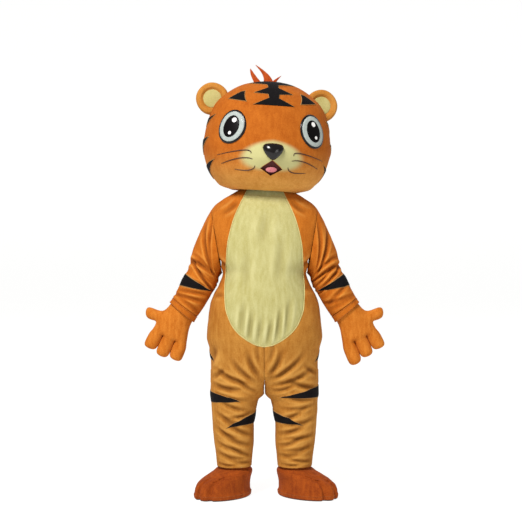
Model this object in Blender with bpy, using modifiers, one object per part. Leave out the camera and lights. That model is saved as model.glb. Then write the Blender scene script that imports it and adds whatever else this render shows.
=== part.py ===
"""Tiger costume: head, suit, gloves and feet covers, standing open and hollow.

Metres, +Z up, the front faces -Y and the wearer's right arm is at -X. The
origin is in the middle of the neck opening, on the shoulders that hold it up.
Heights in the tables are above the soles.
"""
import itertools
import math

import bmesh
import bpy
import numpy as np
from mathutils import Matrix, Vector
from mathutils.bvhtree import BVHTree

SHOULDER_HEIGHT = 1.345
SEAM_GAP = 0.0003
PLUSH = 0.003
HEAD_WALL = 0.012
LAID_ON = 0.002
LAID_LIFT = 0.0008

COLOURS = {
    "orange_plush": ((0.72, 0.27, 0.045), 0.95),
    "foot_plush": ((0.52, 0.13, 0.018), 0.95),
    "cream_plush": ((0.66, 0.60, 0.24), 0.95),
    "black_plush": ((0.012, 0.010, 0.014), 0.95),
    "tuft_plush": ((0.60, 0.13, 0.025), 0.9),
    "mouth_cloth": ((0.10, 0.018, 0.018), 0.8),
    "tongue_cloth": ((0.75, 0.22, 0.28), 0.8),
    "eye_white": ((0.55, 0.60, 0.56), 0.4),
    "gloss_black": ((0.008, 0.007, 0.008), 0.15),
    "zip_tape": ((0.50, 0.20, 0.04), 0.6),
    "sole_rubber": ((0.03, 0.028, 0.026), 0.8),
}

for old in list(bpy.data.objects):
    bpy.data.objects.remove(old, do_unlink=True)
costume = bpy.data.collections.new("tiger_costume")
cutters = bpy.data.collections.new("cutters")
bpy.context.scene.collection.children.link(costume)
bpy.context.scene.collection.children.link(cutters)


def table(columns, *rows):
    """Rows of numbers as one array for each named column."""
    return {name: np.array(column, float) for name, column in zip(columns, zip(*rows))}


def along(rows, column, where, key="height"):
    """One column of a table on a smooth curve through its rows, never past them."""
    order = np.argsort(rows[key])
    x = rows[key][order]
    y = rows[column][order]
    step = np.diff(x)
    slope = np.diff(y) / step
    tangent = np.zeros_like(y)
    same = slope[1:] * slope[:-1] > 0
    mean = 2 * slope[1:] * slope[:-1] / np.where(same, slope[1:] + slope[:-1], 1)
    tangent[1:-1] = np.where(same, mean, 0)
    tangent[0] = slope[0]
    tangent[-1] = slope[-1]
    where = np.clip(where, x[0], x[-1])
    i = np.clip(np.searchsorted(x, where) - 1, 0, len(step) - 1)
    s = (where - x[i]) / step[i]
    rise = (1 + 2 * s) * (1 - s) ** 2 * y[i] + s * s * (3 - 2 * s) * y[i + 1]
    return rise + step[i] * (s * (1 - s) ** 2 * tangent[i] + s * s * (s - 1) * tangent[i + 1])


def unit(vectors):
    """The same vectors at length one."""
    return vectors / np.maximum(np.linalg.norm(vectors, axis=-1, keepdims=True), 1e-12)


def material(finish):
    """The plain material of one finish, made once."""
    name = "cad_" + finish
    made = bpy.data.materials.get(name)
    if made is None:
        colour, roughness = COLOURS[finish]
        made = bpy.data.materials.new(name)
        made.use_nodes = True
        shader = made.node_tree.nodes["Principled BSDF"]
        shader.inputs["Base Color"].default_value = (*colour, 1)
        shader.inputs["Roughness"].default_value = roughness
    return made


def add(name, mesh, finish, collection=costume):
    """Put a mesh in the scene as one named piece, shaded smooth."""
    piece = bpy.data.objects.new(name, mesh)
    collection.objects.link(piece)
    mesh.materials.clear()
    mesh.materials.append(material(finish))
    mesh.shade_smooth()
    if collection is cutters:
        piece.hide_render = True
        piece.display_type = "WIRE"
    return piece


def wall(name, outer, inner, finish, closed=False, collection=costume):
    """A cloth wall between two grids of points (rows, columns, xyz).

    The rims close its ends; a tube is closed round its columns. Points that
    fall together, as at a crown, are merged.
    """
    rows, columns = outer.shape[:2]
    bm = bmesh.new()
    skins = []
    for grid in (outer, inner):
        skins.append([[bm.verts.new(point) for point in row] for row in grid])
    last = columns if closed else columns - 1

    def face(*corners):
        kept = []
        for corner in corners:
            if all((corner.co - other.co).length > 1e-6 for other in kept):
                kept.append(corner)
        if len(kept) > 2:
            bm.faces.new(kept)

    out, ins = skins
    for r in range(rows - 1):
        for c in range(last):
            d = (c + 1) % columns
            face(out[r][c], out[r][d], out[r + 1][d])
            face(out[r][c], out[r + 1][d], out[r + 1][c])
            face(ins[r][c], ins[r + 1][d], ins[r][d])
            face(ins[r][c], ins[r + 1][c], ins[r + 1][d])
    for c in range(last):
        d = (c + 1) % columns
        face(out[0][c], ins[0][c], ins[0][d], out[0][d])
        face(out[-1][c], out[-1][d], ins[-1][d], ins[-1][c])
    if not closed:
        for r in range(rows - 1):
            face(out[r][0], out[r + 1][0], ins[r + 1][0], ins[r][0])
            face(out[r][-1], ins[r][-1], ins[r + 1][-1], out[r + 1][-1])
    bmesh.ops.remove_doubles(bm, verts=bm.verts, dist=1e-6)
    bmesh.ops.recalc_face_normals(bm, faces=bm.faces)
    mesh = bpy.data.meshes.new(name)
    bm.to_mesh(mesh)
    bm.free()
    return add(name, mesh, finish, collection)


# The suit: four panels from shoulder to ankle around the belly panel.

BODY = table(
    ("height", "half_width", "front", "back", "roundness"),
    (1.385, 0.100, 0.085, 0.085, 2.1),
    (1.370, 0.124, 0.094, 0.095, 2.1),
    (1.3455, 0.166, 0.106, 0.112, 2.1),
    (1.3275, 0.194, 0.118, 0.128, 2.1),
    (1.3095, 0.219, 0.130, 0.140, 2.1),
    (1.285, 0.240, 0.142, 0.150, 2.1),
    (1.250, 0.262, 0.152, 0.158, 2.1),
    (1.200, 0.272, 0.163, 0.162, 2.1),
    (1.150, 0.268, 0.171, 0.160, 2.1),
    (1.100, 0.252, 0.179, 0.156, 2.1),
    (1.050, 0.224, 0.187, 0.153, 2.1),
    (1.000, 0.190, 0.194, 0.152, 2.1),
    (0.950, 0.206, 0.202, 0.155, 2.15),
    (0.900, 0.232, 0.209, 0.160, 2.2),
    (0.860, 0.246, 0.213, 0.165, 2.2),
    (0.790, 0.255, 0.214, 0.171, 2.25),
    (0.715, 0.262, 0.206, 0.175, 2.25),
    (0.660, 0.250, 0.194, 0.174, 2.25),
    (0.600, 0.243, 0.178, 0.168, 2.3),
    (0.530, 0.243, 0.158, 0.156, 2.3),
    (0.4635, 0.245, 0.138, 0.138, 2.2),
)
LEG = table(
    ("height", "inner", "outer", "front", "back"),
    (0.560, 0.0002, 0.243, 0.160, 0.160),
    (0.455, 0.0120, 0.245, 0.136, 0.136),
    (0.4275, 0.0250, 0.242, 0.130, 0.130),
    (0.3915, 0.0340, 0.241, 0.124, 0.126),
    (0.3555, 0.0405, 0.238, 0.120, 0.124),
    (0.3195, 0.0460, 0.236, 0.116, 0.121),
    (0.2475, 0.0460, 0.230, 0.112, 0.116),
    (0.1755, 0.0530, 0.220, 0.108, 0.110),
    (0.1350, 0.0560, 0.216, 0.106, 0.106),
)
BELLY = table(
    ("height", "half_width"),
    (1.385, 0.068),
    (1.359, 0.083),
    (1.2195, 0.143),
    (1.107, 0.1665),
    (1.010, 0.172),
    (0.936, 0.177),
    (0.855, 0.173),
    (0.783, 0.149),
    (0.745, 0.122),
    (0.720, 0.093),
    (0.700, 0.062),
    (0.687, 0.034),
    (0.6795, 0.0),
)
ARMHOLE_TOP = (0.2400, 1.285)
ARMHOLE_FOOT = (0.1900, 1.000)
CROTCH_TOP = 0.545
CROTCH_FOOT = 0.455
BELLY_FOOT = 0.6795
LEG_HEM = 0.135

# Soft troughs in the cloth: where they are, their slope and their size.
FOLDS = table(
    ("side", "face", "x", "height", "slope", "length", "width", "depth"),
    (-1, -1, 0.050, 0.560, 62, 0.20, 0.022, 0.010),
    (-1, -1, 0.110, 0.520, 30, 0.22, 0.022, 0.012),
    (-1, -1, 0.180, 0.545, -22, 0.16, 0.020, 0.012),
    (-1, -1, 0.150, 0.470, 12, 0.20, 0.020, 0.010),
    (-1, -1, 0.240, 0.620, -62, 0.14, 0.022, 0.014),
    (-1, -1, 0.120, 0.370, 14, 0.20, 0.020, 0.009),
    (-1, -1, 0.140, 0.300, -24, 0.22, 0.020, 0.011),
    (-1, -1, 0.100, 0.255, 30, 0.16, 0.020, 0.009),
    (-1, -1, 0.140, 0.195, -20, 0.20, 0.018, 0.011),
    (1, -1, 0.045, 0.575, 60, 0.18, 0.022, 0.009),
    (1, -1, 0.100, 0.535, 28, 0.24, 0.024, 0.013),
    (1, -1, 0.190, 0.560, -30, 0.14, 0.020, 0.010),
    (1, -1, 0.130, 0.475, -6, 0.20, 0.020, 0.010),
    (1, -1, 0.140, 0.395, 8, 0.20, 0.018, 0.009),
    (1, -1, 0.140, 0.300, -10, 0.22, 0.020, 0.011),
    (1, -1, 0.120, 0.245, 16, 0.18, 0.018, 0.009),
    (1, -1, 0.140, 0.190, -14, 0.20, 0.018, 0.011),
    (-1, 1, 0.110, 0.580, -28, 0.22, 0.026, 0.012),
    (-1, 1, 0.120, 0.470, 14, 0.22, 0.022, 0.012),
    (-1, 1, 0.140, 0.370, -12, 0.22, 0.020, 0.010),
    (-1, 1, 0.130, 0.290, 16, 0.20, 0.020, 0.010),
    (-1, 1, 0.140, 0.200, -14, 0.20, 0.018, 0.011),
    (-1, 1, 0.120, 0.950, 40, 0.24, 0.030, 0.010),
    (1, 1, 0.100, 0.570, -24, 0.22, 0.026, 0.012),
    (1, 1, 0.130, 0.465, 10, 0.22, 0.022, 0.012),
    (1, 1, 0.130, 0.380, -14, 0.22, 0.020, 0.010),
    (1, 1, 0.140, 0.285, 10, 0.20, 0.020, 0.010),
    (1, 1, 0.130, 0.205, -16, 0.20, 0.018, 0.011),
    (1, 1, 0.110, 0.990, 36, 0.24, 0.030, 0.009),
)

ROW_HEIGHTS = np.concatenate([
    [1.385, 1.370, 1.3455, 1.3095],
    np.linspace(ARMHOLE_TOP[1], ARMHOLE_FOOT[1], 8),
    np.linspace(0.955, 0.783, 4),
    [0.745, 0.720, 0.700, 0.687, 0.6795],
    np.linspace(0.640, CROTCH_TOP, 3),
    np.linspace(0.515, CROTCH_FOOT, 3),
    np.linspace(0.415, LEG_HEM, 8),
])
BELLY_PLEATS = {"height": 0.78, "tall": 0.07, "depth": 0.0024, "apart": 0.042}
BELLY_COLUMNS = 4
FRONT_COLUMNS = 5
BACK_COLUMNS = 6


def split_share(height):
    """How far the section has parted into two legs: 0 at the seat, 1 at the crotch."""
    rise = np.clip((height - CROTCH_FOOT) / (CROTCH_TOP - CROTCH_FOOT), 0, 1)
    return 1 - np.sqrt(rise)


def section_limits(height):
    """Inner and outer limit of half the body at a height, from the centre plane."""
    in_leg = height < CROTCH_FOOT
    share = split_share(height)
    outer_body = along(BODY, "half_width", height)
    outer = (1 - share) * outer_body + share * along(LEG, "outer", height)
    inner = np.where(in_leg, along(LEG, "inner", height), 0.0)
    fade = np.clip((CROTCH_FOOT - height) / 0.02, 0, 1)
    return inner * fade, np.where(in_leg, along(LEG, "outer", height), outer)


def depth_at(face, x, height):
    """Depth of the cloth in front of or behind the side seam, at a place across."""
    column = "front" if face < 0 else "back"
    inner, outer = section_limits(height)
    round_body = along(BODY, "roundness", height)
    share = split_share(height)
    over = np.clip(x / outer, 0, 1)
    body = along(BODY, column, height) * (1 - over ** round_body) ** (1 / round_body)
    middle = (inner + outer) / 2
    half = (outer - inner) / 2
    from_middle = np.clip(np.abs(x - middle) / half, 0, 1)
    leg = along(LEG, column, height) * (1 - from_middle ** 2.2) ** (1 / 2.2)
    return (1 - share) * body + share * leg


def skin_point(face, x, height):
    """Point of the cloth's outer face on the +X half."""
    x, height = np.broadcast_arrays(x, height)
    return np.stack([x, face * depth_at(face, x, height), height], -1)


def skin_normal(face, x, height):
    """Outward direction there, from small steps across and up."""
    inner, outer = section_limits(height)
    share = np.clip((x - inner) / (outer - inner), 0.006, 0.994)
    step = 0.003

    def at(across, level):
        low, high = section_limits(level)
        return skin_point(face, low + (high - low) * across, level)

    over = at(share + step, height) - at(share - step, height)
    rise = at(share, height + step) - at(share, height - step)
    return unit(np.cross(over, rise)) * -face


def fold_depth(side, face, x, height):
    """Depth of all the troughs at a place, each a bell across and fading along.

    They run out towards the side, centre and inner-leg seams, which join.
    """
    inner, outer = section_limits(height)
    share = (x - inner) / (outer - inner)
    from_seam = np.clip(np.minimum(share, 1 - share) / 0.14, 0, 1)
    total = np.zeros(np.broadcast(x, height).shape)
    for i in range(len(FOLDS["x"])):
        if FOLDS["side"][i] != side or FOLDS["face"][i] != face:
            continue
        turn = math.radians(FOLDS["slope"][i])
        dx = x - FOLDS["x"][i]
        dh = height - FOLDS["height"][i]
        lengthwise = dx * math.cos(turn) + dh * math.sin(turn)
        across = dh * math.cos(turn) - dx * math.sin(turn)
        fade = np.clip(1 - (2 * lengthwise / FOLDS["length"][i]) ** 2, 0, 1) ** 2
        bell = np.exp(-(across / FOLDS["width"][i]) ** 2)
        total = total + FOLDS["depth"][i] * bell * fade
    return total * from_seam * from_seam * (3 - 2 * from_seam)


def panel_grids(side, face, x, height, thickness=PLUSH, lift=0.0):
    """Outer and inner grid of a panel on one side, kept off the seam planes."""
    point = skin_point(face, x, height)
    normal = skin_normal(face, x, height)
    sunk = fold_depth(side, face, x, height)[..., None]
    grids = []
    for offset in (lift, lift - thickness):
        grid = point + normal * (offset - sunk)
        grid[..., 0] = np.maximum(grid[..., 0], SEAM_GAP / 2)
        behind = np.maximum(grid[..., 1] * face, SEAM_GAP / 2)
        grid[..., 1] = behind * face
        grid[..., 0] *= side
        grid[..., 2] -= SHOULDER_HEIGHT
        grids.append(grid)
    return grids


def armhole_x(height):
    """Distance of the armhole seam from the centre plane, or the side seam below it."""
    top_x, top = ARMHOLE_TOP
    foot_x, foot = ARMHOLE_FOOT
    seam = foot_x + (top_x - foot_x) * (height - foot) / (top - foot)
    inner, outer = section_limits(height)
    inside = (height < top) & (height > foot)
    return np.where(inside, np.minimum(seam, outer), outer)


def across_rows(start, end, columns, height, leg_spread):
    """Places across a panel: closer together where the cloth turns edge on."""
    t = np.linspace(0, 1, columns + 1)[None, :]
    turned = np.sin(t * math.pi / 2)
    both = (1 - np.cos(t * math.pi)) / 2
    share = split_share(height)[:, None]
    in_arm = ((height < ARMHOLE_TOP[1]) & (height > ARMHOLE_FOOT[1]))[:, None]
    plain = np.where(in_arm, 0.7 * turned + 0.3 * t, turned)
    spread = (1 - share) * plain + share * both if leg_spread else t + 0 * share
    return start[:, None] + (end - start)[:, None] * spread


def belly_edge(height, gap=0.0):
    """Half width of the belly panel, less a gap taken square to its edge."""
    wide = along(BELLY, "half_width", height)
    slope = (along(BELLY, "half_width", height + 0.002)
             - along(BELLY, "half_width", height - 0.002)) / 0.004
    return wide - gap * np.sqrt(1 + np.clip(slope, -4, 4) ** 2)


def front_panel(name, side):
    """One front from shoulder to ankle, cut out round the belly panel."""
    height = ROW_HEIGHTS
    inner, outer = section_limits(height)
    start = np.where(height >= BELLY_FOOT, np.maximum(belly_edge(height), 0), inner)
    x = across_rows(start, armhole_x(height), FRONT_COLUMNS, height, True)
    outer_grid, inner_grid = panel_grids(side, -1, x, height[:, None])
    return wall(name, outer_grid, inner_grid, "orange_plush"), outer_grid


def back_panel(name, side):
    """One back from side seam to centre, shoulder to ankle, clear of the zip."""
    height = ROW_HEIGHTS
    inner, outer = section_limits(height)
    start = np.where(height > ZIP_FOOT, ZIP_HALF + SEAM_GAP, inner)
    x = across_rows(start, armhole_x(height), BACK_COLUMNS, height, True)[:, ::-1]
    outer_grid, inner_grid = panel_grids(side, 1, x, height[:, None])
    return wall(name, outer_grid, inner_grid, "orange_plush"), outer_grid


def belly_panel():
    """The cream front, set in between the two fronts."""
    height = ROW_HEIGHTS[ROW_HEIGHTS > BELLY_FOOT + 0.001]
    height = np.append(height, BELLY_FOOT + 0.0012)
    edge = belly_edge(height, SEAM_GAP * 1.5)
    t = np.linspace(-1, 1, 2 * BELLY_COLUMNS + 1)[None, :]
    x = edge[:, None] * t
    point = skin_point(-1, np.abs(x), height[:, None])
    normal = skin_normal(-1, np.abs(x), height[:, None])
    point[..., 0] = x
    normal[..., 0] *= np.sign(t)
    point[..., 2] -= SHOULDER_HEIGHT
    near = np.exp(-((height[:, None] - BELLY_PLEATS["height"]) / BELLY_PLEATS["tall"]) ** 2)
    pleat = BELLY_PLEATS["depth"] * near * np.cos(x * 2 * math.pi / BELLY_PLEATS["apart"])
    outer = point + normal * pleat[..., None]
    return wall("belly_panel", outer, outer - normal * PLUSH, "cream_plush")


ZIP_HALF = 0.005
ZIP_FOOT = 0.740
front_left, front_left_grid = front_panel("front_left", -1)
front_right, front_right_grid = front_panel("front_right", 1)
back_left, back_left_grid = back_panel("back_left", -1)
back_right, back_right_grid = back_panel("back_right", 1)
belly_panel()


# The back closure: a narrow zip between the backs, closed, and the neck band.

def back_zip():
    """Tape and closed teeth as one narrow strip down the centre back."""
    height = np.append(ROW_HEIGHTS[ROW_HEIGHTS > ZIP_FOOT], ZIP_FOOT - 0.016)
    half = np.full(len(height), ZIP_HALF)
    half[-1] = ZIP_HALF * 0.08
    x = half[:, None] * np.array([-1, 0, 1])[None, :]
    point = skin_point(1, np.abs(x), height[:, None])
    normal = skin_normal(1, np.abs(x), height[:, None])
    point[..., 0] = x
    normal[..., 0] *= np.sign(x)
    point[..., 2] -= SHOULDER_HEIGHT
    return wall("back_zip", point, point - normal * PLUSH, "zip_tape")


def neck_band():
    """A low stand-up band all round the neck edge, inside the head."""
    angle = np.linspace(0, 2 * math.pi, 20, endpoint=False)
    rise = np.array([0.0005, 0.014]) + BODY["height"][0] - SHOULDER_HEIGHT
    across = BODY["half_width"][0] - 0.0035
    deep = BODY["front"][0] - 0.0035
    outer = np.stack([
        np.stack([across * np.sin(angle), -deep * np.cos(angle), np.full(20, z)], -1)
        for z in rise])
    inner = outer * np.array([1 - 0.0025 / across, 1 - 0.0025 / deep, 1])
    return wall("neck_band", outer, inner, "cream_plush", closed=True)


back_zip()
neck_band()


# Sleeves: rings from the armhole seam to the wrist, fanned about the underarm.

SLEEVE = table(
    ("ring", "outer_x", "outer_height", "under_x", "under_height", "half_depth", "y"),
    (0, 0.2400, 1.2850, 0.1900, 1.0000, 0.100, 0.000),
    (1, 0.2680, 1.2320, 0.1985, 0.9900, 0.098, -0.001),
    (2, 0.2910, 1.1800, 0.2060, 0.9780, 0.093, -0.002),
    (3, 0.3120, 1.1300, 0.2070, 0.9660, 0.087, -0.003),
    (4, 0.3260, 1.0900, 0.2110, 0.9540, 0.081, -0.005),
    (5, 0.3345, 1.0500, 0.2160, 0.9410, 0.076, -0.007),
    (6, 0.3430, 1.0150, 0.2250, 0.9250, 0.073, -0.010),
    (7, 0.3610, 0.9850, 0.2360, 0.9080, 0.071, -0.012),
    (8, 0.3780, 0.9510, 0.2500, 0.8840, 0.069, -0.014),
    (9, 0.3940, 0.9180, 0.2700, 0.8500, 0.067, -0.016),
    (10, 0.4090, 0.8930, 0.2960, 0.8120, 0.066, -0.018),
    (11, 0.4250, 0.8685, 0.3170, 0.7785, 0.065, -0.020),
)
SLEEVE_COLUMNS = 14
SLEEVE_RINGS = np.concatenate([np.arange(10.0), [9.6, 10.15]])
CUFF_RINGS = np.array([10.17, 10.5, 11.0])
SLEEVE_FOLDS = table(
    ("side", "ring", "angle", "twist", "reach", "width", "depth"),
    (-1, 2.2, 80, 1.6, 70, 0.38, 0.008),
    (-1, 4.3, 60, -1.3, 80, 0.36, 0.009),
    (-1, 5.6, 100, 1.2, 80, 0.34, 0.009),
    (-1, 9.0, 70, -0.6, 90, 0.32, 0.006),
    (1, 2.6, 70, 1.4, 70, 0.38, 0.008),
    (1, 4.6, 90, -1.0, 90, 0.36, 0.009),
    (1, 5.9, 60, 0.8, 80, 0.32, 0.008),
    (1, 9.1, 90, -0.5, 90, 0.32, 0.006),
    (-1, 5.0, 250, 1.0, 80, 0.40, 0.009),
    (1, 5.2, 240, -1.0, 80, 0.40, 0.009),
)
ARMHOLE_ROWS = slice(4, 12)


def armhole_loop(front_grid, back_grid):
    """The armhole's outer edge, from its top down the front and up the back."""
    front = front_grid[ARMHOLE_ROWS, -1].copy()
    back = back_grid[ARMHOLE_ROWS, 0].copy()
    front[0, 1] = 0
    front[-1, 1] = 0
    return np.concatenate([front, back[-2:0:-1]])


def sleeve_ring(ring, loop, side):
    """Points of one ring: the armhole's own shape easing into an ellipse."""
    angle = np.linspace(0, 2 * math.pi, SLEEVE_COLUMNS, endpoint=False)
    value = {name: float(along(SLEEVE, name, ring, "ring")) for name in SLEEVE if name != "ring"}
    outer = np.array([value["outer_x"], 0, value["outer_height"]])
    under = np.array([value["under_x"], 0, value["under_height"]])
    middle = (outer + under) / 2 + np.array([0, value["y"], -SHOULDER_HEIGHT])
    half = (outer - under) / 2
    top = np.array([ARMHOLE_TOP[0], 0, ARMHOLE_TOP[1] - SHOULDER_HEIGHT])
    foot = np.array([ARMHOLE_FOOT[0], 0, ARMHOLE_FOOT[1] - SHOULDER_HEIGHT])
    reach = (top - foot) / 2
    placed = loop * np.array([side, 1, 1]) - (top + foot) / 2
    own_across = placed @ reach / (reach @ reach)
    own_deep = -placed[:, 1] / SLEEVE["half_depth"][0]
    ease = min(ring / 2.5, 1)
    ease = ease * ease * (3 - 2 * ease)
    across = (1 - ease) * own_across + ease * np.cos(angle)
    deep = (1 - ease) * own_deep + ease * np.sin(angle)
    ahead = np.array([0, -value["half_depth"], 0])
    return middle + across[:, None] * half + deep[:, None] * ahead


def sleeve_fold(side, ring, angle):
    """Depth of a sleeve's creases: troughs that run part of the way round."""
    total = np.zeros(np.shape(angle))
    for i in range(len(SLEEVE_FOLDS["ring"])):
        if SLEEVE_FOLDS["side"][i] != side:
            continue
        turn = (np.degrees(angle) - SLEEVE_FOLDS["angle"][i] + 180) % 360 - 180
        line = SLEEVE_FOLDS["ring"][i] + SLEEVE_FOLDS["twist"][i] * turn / 90
        fade = np.clip(1 - (turn / SLEEVE_FOLDS["reach"][i]) ** 2, 0, 1)
        bell = np.exp(-((ring - line) / SLEEVE_FOLDS["width"][i]) ** 2)
        total = total + SLEEVE_FOLDS["depth"][i] * bell * fade
    return total


def tube_normals(grid, inside):
    """Outward directions on a closed tube of rings, each facing off the middle line."""
    around = np.roll(grid, -1, 1) - np.roll(grid, 1, 1)
    down = np.gradient(grid, axis=0)
    normal = unit(np.cross(around, down))
    outward = grid - inside[:, None, :]
    sign = np.sign(np.sum(normal * outward, -1, keepdims=True))
    return normal * np.where(sign == 0, 1, sign)


def sleeve_grids(side, rings, loop):
    """Outer and inner rings of a sleeve, mirrored to its own side."""
    angle = np.linspace(0, 2 * math.pi, SLEEVE_COLUMNS, endpoint=False)
    grid = np.stack([sleeve_ring(ring, loop, side) for ring in rings])
    normal = tube_normals(grid, grid.mean(1))
    sunk = np.stack([sleeve_fold(side, ring, angle) for ring in rings])[..., None]
    outer = grid - normal * sunk
    inner = outer - normal * PLUSH
    seam = np.array([ARMHOLE_FOOT[0], 0, ARMHOLE_FOOT[1] - SHOULDER_HEIGHT])
    off = unit(np.array([0.285, 0, -0.050]))
    for edge in (outer, inner):
        short = np.maximum(SEAM_GAP * 1.5 - (edge - seam) @ off, 0)
        edge += short[..., None] * off
        edge[..., 0] *= side
    return outer, inner


loops = {}
sleeve_outsides = {}
for side, word, front_grid, back_grid in (
        (-1, "left", front_left_grid, back_left_grid),
        (1, "right", front_right_grid, back_right_grid)):
    loops[side] = armhole_loop(front_grid, back_grid)
    outer, inner = sleeve_grids(side, SLEEVE_RINGS, loops[side])
    sleeve_outsides[side] = outer
    wall("sleeve_" + word, outer, inner, "orange_plush", closed=True)
    outer, inner = sleeve_grids(side, CUFF_RINGS, loops[side])
    wall("cuff_" + word, outer, inner, "orange_plush", closed=True)


# Gloves: a coarse cage of palm, thumb and three broad fingers, smoothed, then a wall.

GLOVE_ROWS = table(
    ("row", "x", "height", "half_across", "half_depth", "turn", "flat"),
    (0, 0.3560, 0.8420, 0.0690, 0.0650, 40, 0.0),
    (1, 0.3760, 0.8180, 0.0690, 0.0640, 39, 0.0),
    (2, 0.3960, 0.7860, 0.0720, 0.0540, 33, 0.5),
    (3, 0.4130, 0.7480, 0.0780, 0.0440, 27, 1.0),
    (4, 0.4270, 0.7120, 0.0850, 0.0400, 24, 1.0),
)
FINGERS = table(
    ("finger", "lean", "reach", "half_width", "half_depth"),
    (0, 0.010, 0.090, 0.0285, 0.034),
    (1, 0.000, 0.102, 0.0280, 0.035),
    (2, -0.008, 0.092, 0.0285, 0.034),
)
FINGER_RINGS = ((0.55, 1.0), (1.0, 0.88))
THUMB_REACH = 0.070
THUMB_RISE = 0.026
THUMB_RINGS = ((0.60, 0.031, 0.031), (1.0, 0.024, 0.026))
THUMB_SLANT = 0.006
ROUND_PLACES = ((0.924, 0.383), (0.383, 0.924), (-0.383, 0.924), (-0.924, 0.383))
FLAT_PLACES = ((1.0, 0.70), (0.36, 1.0), (-0.36, 1.0), (-1.0, 0.70))


def glove(name, side, inner_finger_extra):
    """One glove, open at the wrist, palm to the front and thumb outward."""
    bm = bmesh.new()

    def place(x, height, y):
        return bm.verts.new((side * x, y, height - SHOULDER_HEIGHT))

    rows = []
    for i in range(len(GLOVE_ROWS["row"])):
        value = {key: GLOVE_ROWS[key][i] for key in GLOVE_ROWS}
        turn = math.radians(value["turn"])
        ring = []
        for face in (-1, 1):
            for k in range(4):
                k = k if face < 0 else 3 - k
                flat = value["flat"]
                s = (1 - flat) * ROUND_PLACES[k][0] + flat * FLAT_PLACES[k][0]
                d = (1 - flat) * ROUND_PLACES[k][1] + flat * FLAT_PLACES[k][1]
                across = s * value["half_across"]
                ring.append(place(value["x"] + across * math.cos(turn),
                                  value["height"] + across * math.sin(turn),
                                  GLOVE_Y + face * d * value["half_depth"]))
        rows.append(ring)
    for upper, lower in zip(rows, rows[1:]):
        for k in range(8):
            if k == 7 and upper is rows[2]:
                continue
            bm.faces.new((upper[k], upper[(k + 1) % 8], lower[(k + 1) % 8], lower[k]))
    knuckles = rows[-1]
    turn = math.radians(GLOVE_ROWS["turn"][-1])
    out = Vector((math.cos(turn), math.sin(turn)))
    down = Vector((math.sin(turn), -math.cos(turn)))
    for k in range(3):
        root = [knuckles[k], knuckles[k + 1], knuckles[6 - k], knuckles[7 - k]]
        middle = sum((vert.co for vert in root), Vector()) / 4
        reach = FINGERS["reach"][k] + (inner_finger_extra if k == 2 else 0)
        for share, size in FINGER_RINGS:
            x = side * middle.x + down.x * reach * share + out.x * FINGERS["lean"][k] * share
            height = middle.z + SHOULDER_HEIGHT + down.y * reach * share
            height += out.y * FINGERS["lean"][k] * share
            wide = FINGERS["half_width"][k] * size
            deep = FINGERS["half_depth"][k] * size
            ring = [
                place(x + out.x * wide, height + out.y * wide, GLOVE_Y - deep),
                place(x - out.x * wide, height - out.y * wide, GLOVE_Y - deep),
                place(x - out.x * wide, height - out.y * wide, GLOVE_Y + deep),
                place(x + out.x * wide, height + out.y * wide, GLOVE_Y + deep),
            ]
            for e in range(4):
                bm.faces.new((root[e], root[(e + 1) % 4], ring[(e + 1) % 4], ring[e]))
            root = ring
        bm.faces.new(root)
    root = [rows[2][0], rows[3][0], rows[3][7], rows[2][7]]
    middle = sum((vert.co for vert in root), Vector()) / 4
    for share, tall, deep in THUMB_RINGS:
        x = side * middle.x + THUMB_REACH * share
        height = middle.z + SHOULDER_HEIGHT + THUMB_RISE * share
        ring = [
            place(x, height + tall, GLOVE_Y - deep),
            place(x + THUMB_SLANT, height - tall, GLOVE_Y - deep),
            place(x + THUMB_SLANT, height - tall, GLOVE_Y + deep),
            place(x, height + tall, GLOVE_Y + deep),
        ]
        for e in range(4):
            bm.faces.new((root[e], ring[e], ring[(e + 1) % 4], root[(e + 1) % 4]))
        root = ring
    bm.faces.new(root[::-1])
    bmesh.ops.recalc_face_normals(bm, faces=bm.faces)
    bm.normal_update()
    lowest = min(bm.faces, key=lambda f: f.calc_center_median().z)
    if lowest.normal.z > 0:
        bmesh.ops.reverse_faces(bm, faces=bm.faces)
    mesh = bpy.data.meshes.new(name)
    bm.to_mesh(mesh)
    bm.free()
    piece = add(name, mesh, "orange_plush")
    smooth = piece.modifiers.new("smooth", "SUBSURF")
    smooth.levels = 1
    smooth.render_levels = 1
    cloth = piece.modifiers.new("cloth", "SOLIDIFY")
    cloth.thickness = PLUSH
    cloth.offset = -1
    return piece


GLOVE_Y = -0.019
glove("glove_left", -1, 0.0)
glove("glove_right", 1, 0.022)


# Feet covers: soft uppers with three toes, each on a flat sole, turned outward.

FOOT = table(
    ("height", "forward", "out", "half_length", "half_width", "turn", "toes"),
    (0.150, 0.000, 0.000, 0.0935, 0.0710, 0.0, 0.0),
    (0.130, 0.000, 0.000, 0.0950, 0.0720, 0.0, 0.0),
    (0.116, 0.012, 0.002, 0.1110, 0.0840, 0.3, 0.1),
    (0.098, 0.030, 0.008, 0.1280, 0.0930, 0.7, 0.4),
    (0.078, 0.047, 0.014, 0.1430, 0.0990, 0.95, 0.8),
    (0.056, 0.056, 0.018, 0.1530, 0.1030, 1.0, 1.0),
    (0.034, 0.058, 0.020, 0.1570, 0.1050, 1.0, 1.0),
    (0.0163, 0.056, 0.020, 0.1530, 0.1020, 1.0, 0.9),
)
FOOT_COLUMNS = 20
FOOT_WALL = 0.004
SOLE_THICK = 0.016
SOLE_EDGE = 0.003
ANKLE_X = 0.136
FOOT_TURN = {-1: 33, 1: 41}
TOE_VALLEY = 0.012


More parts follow.
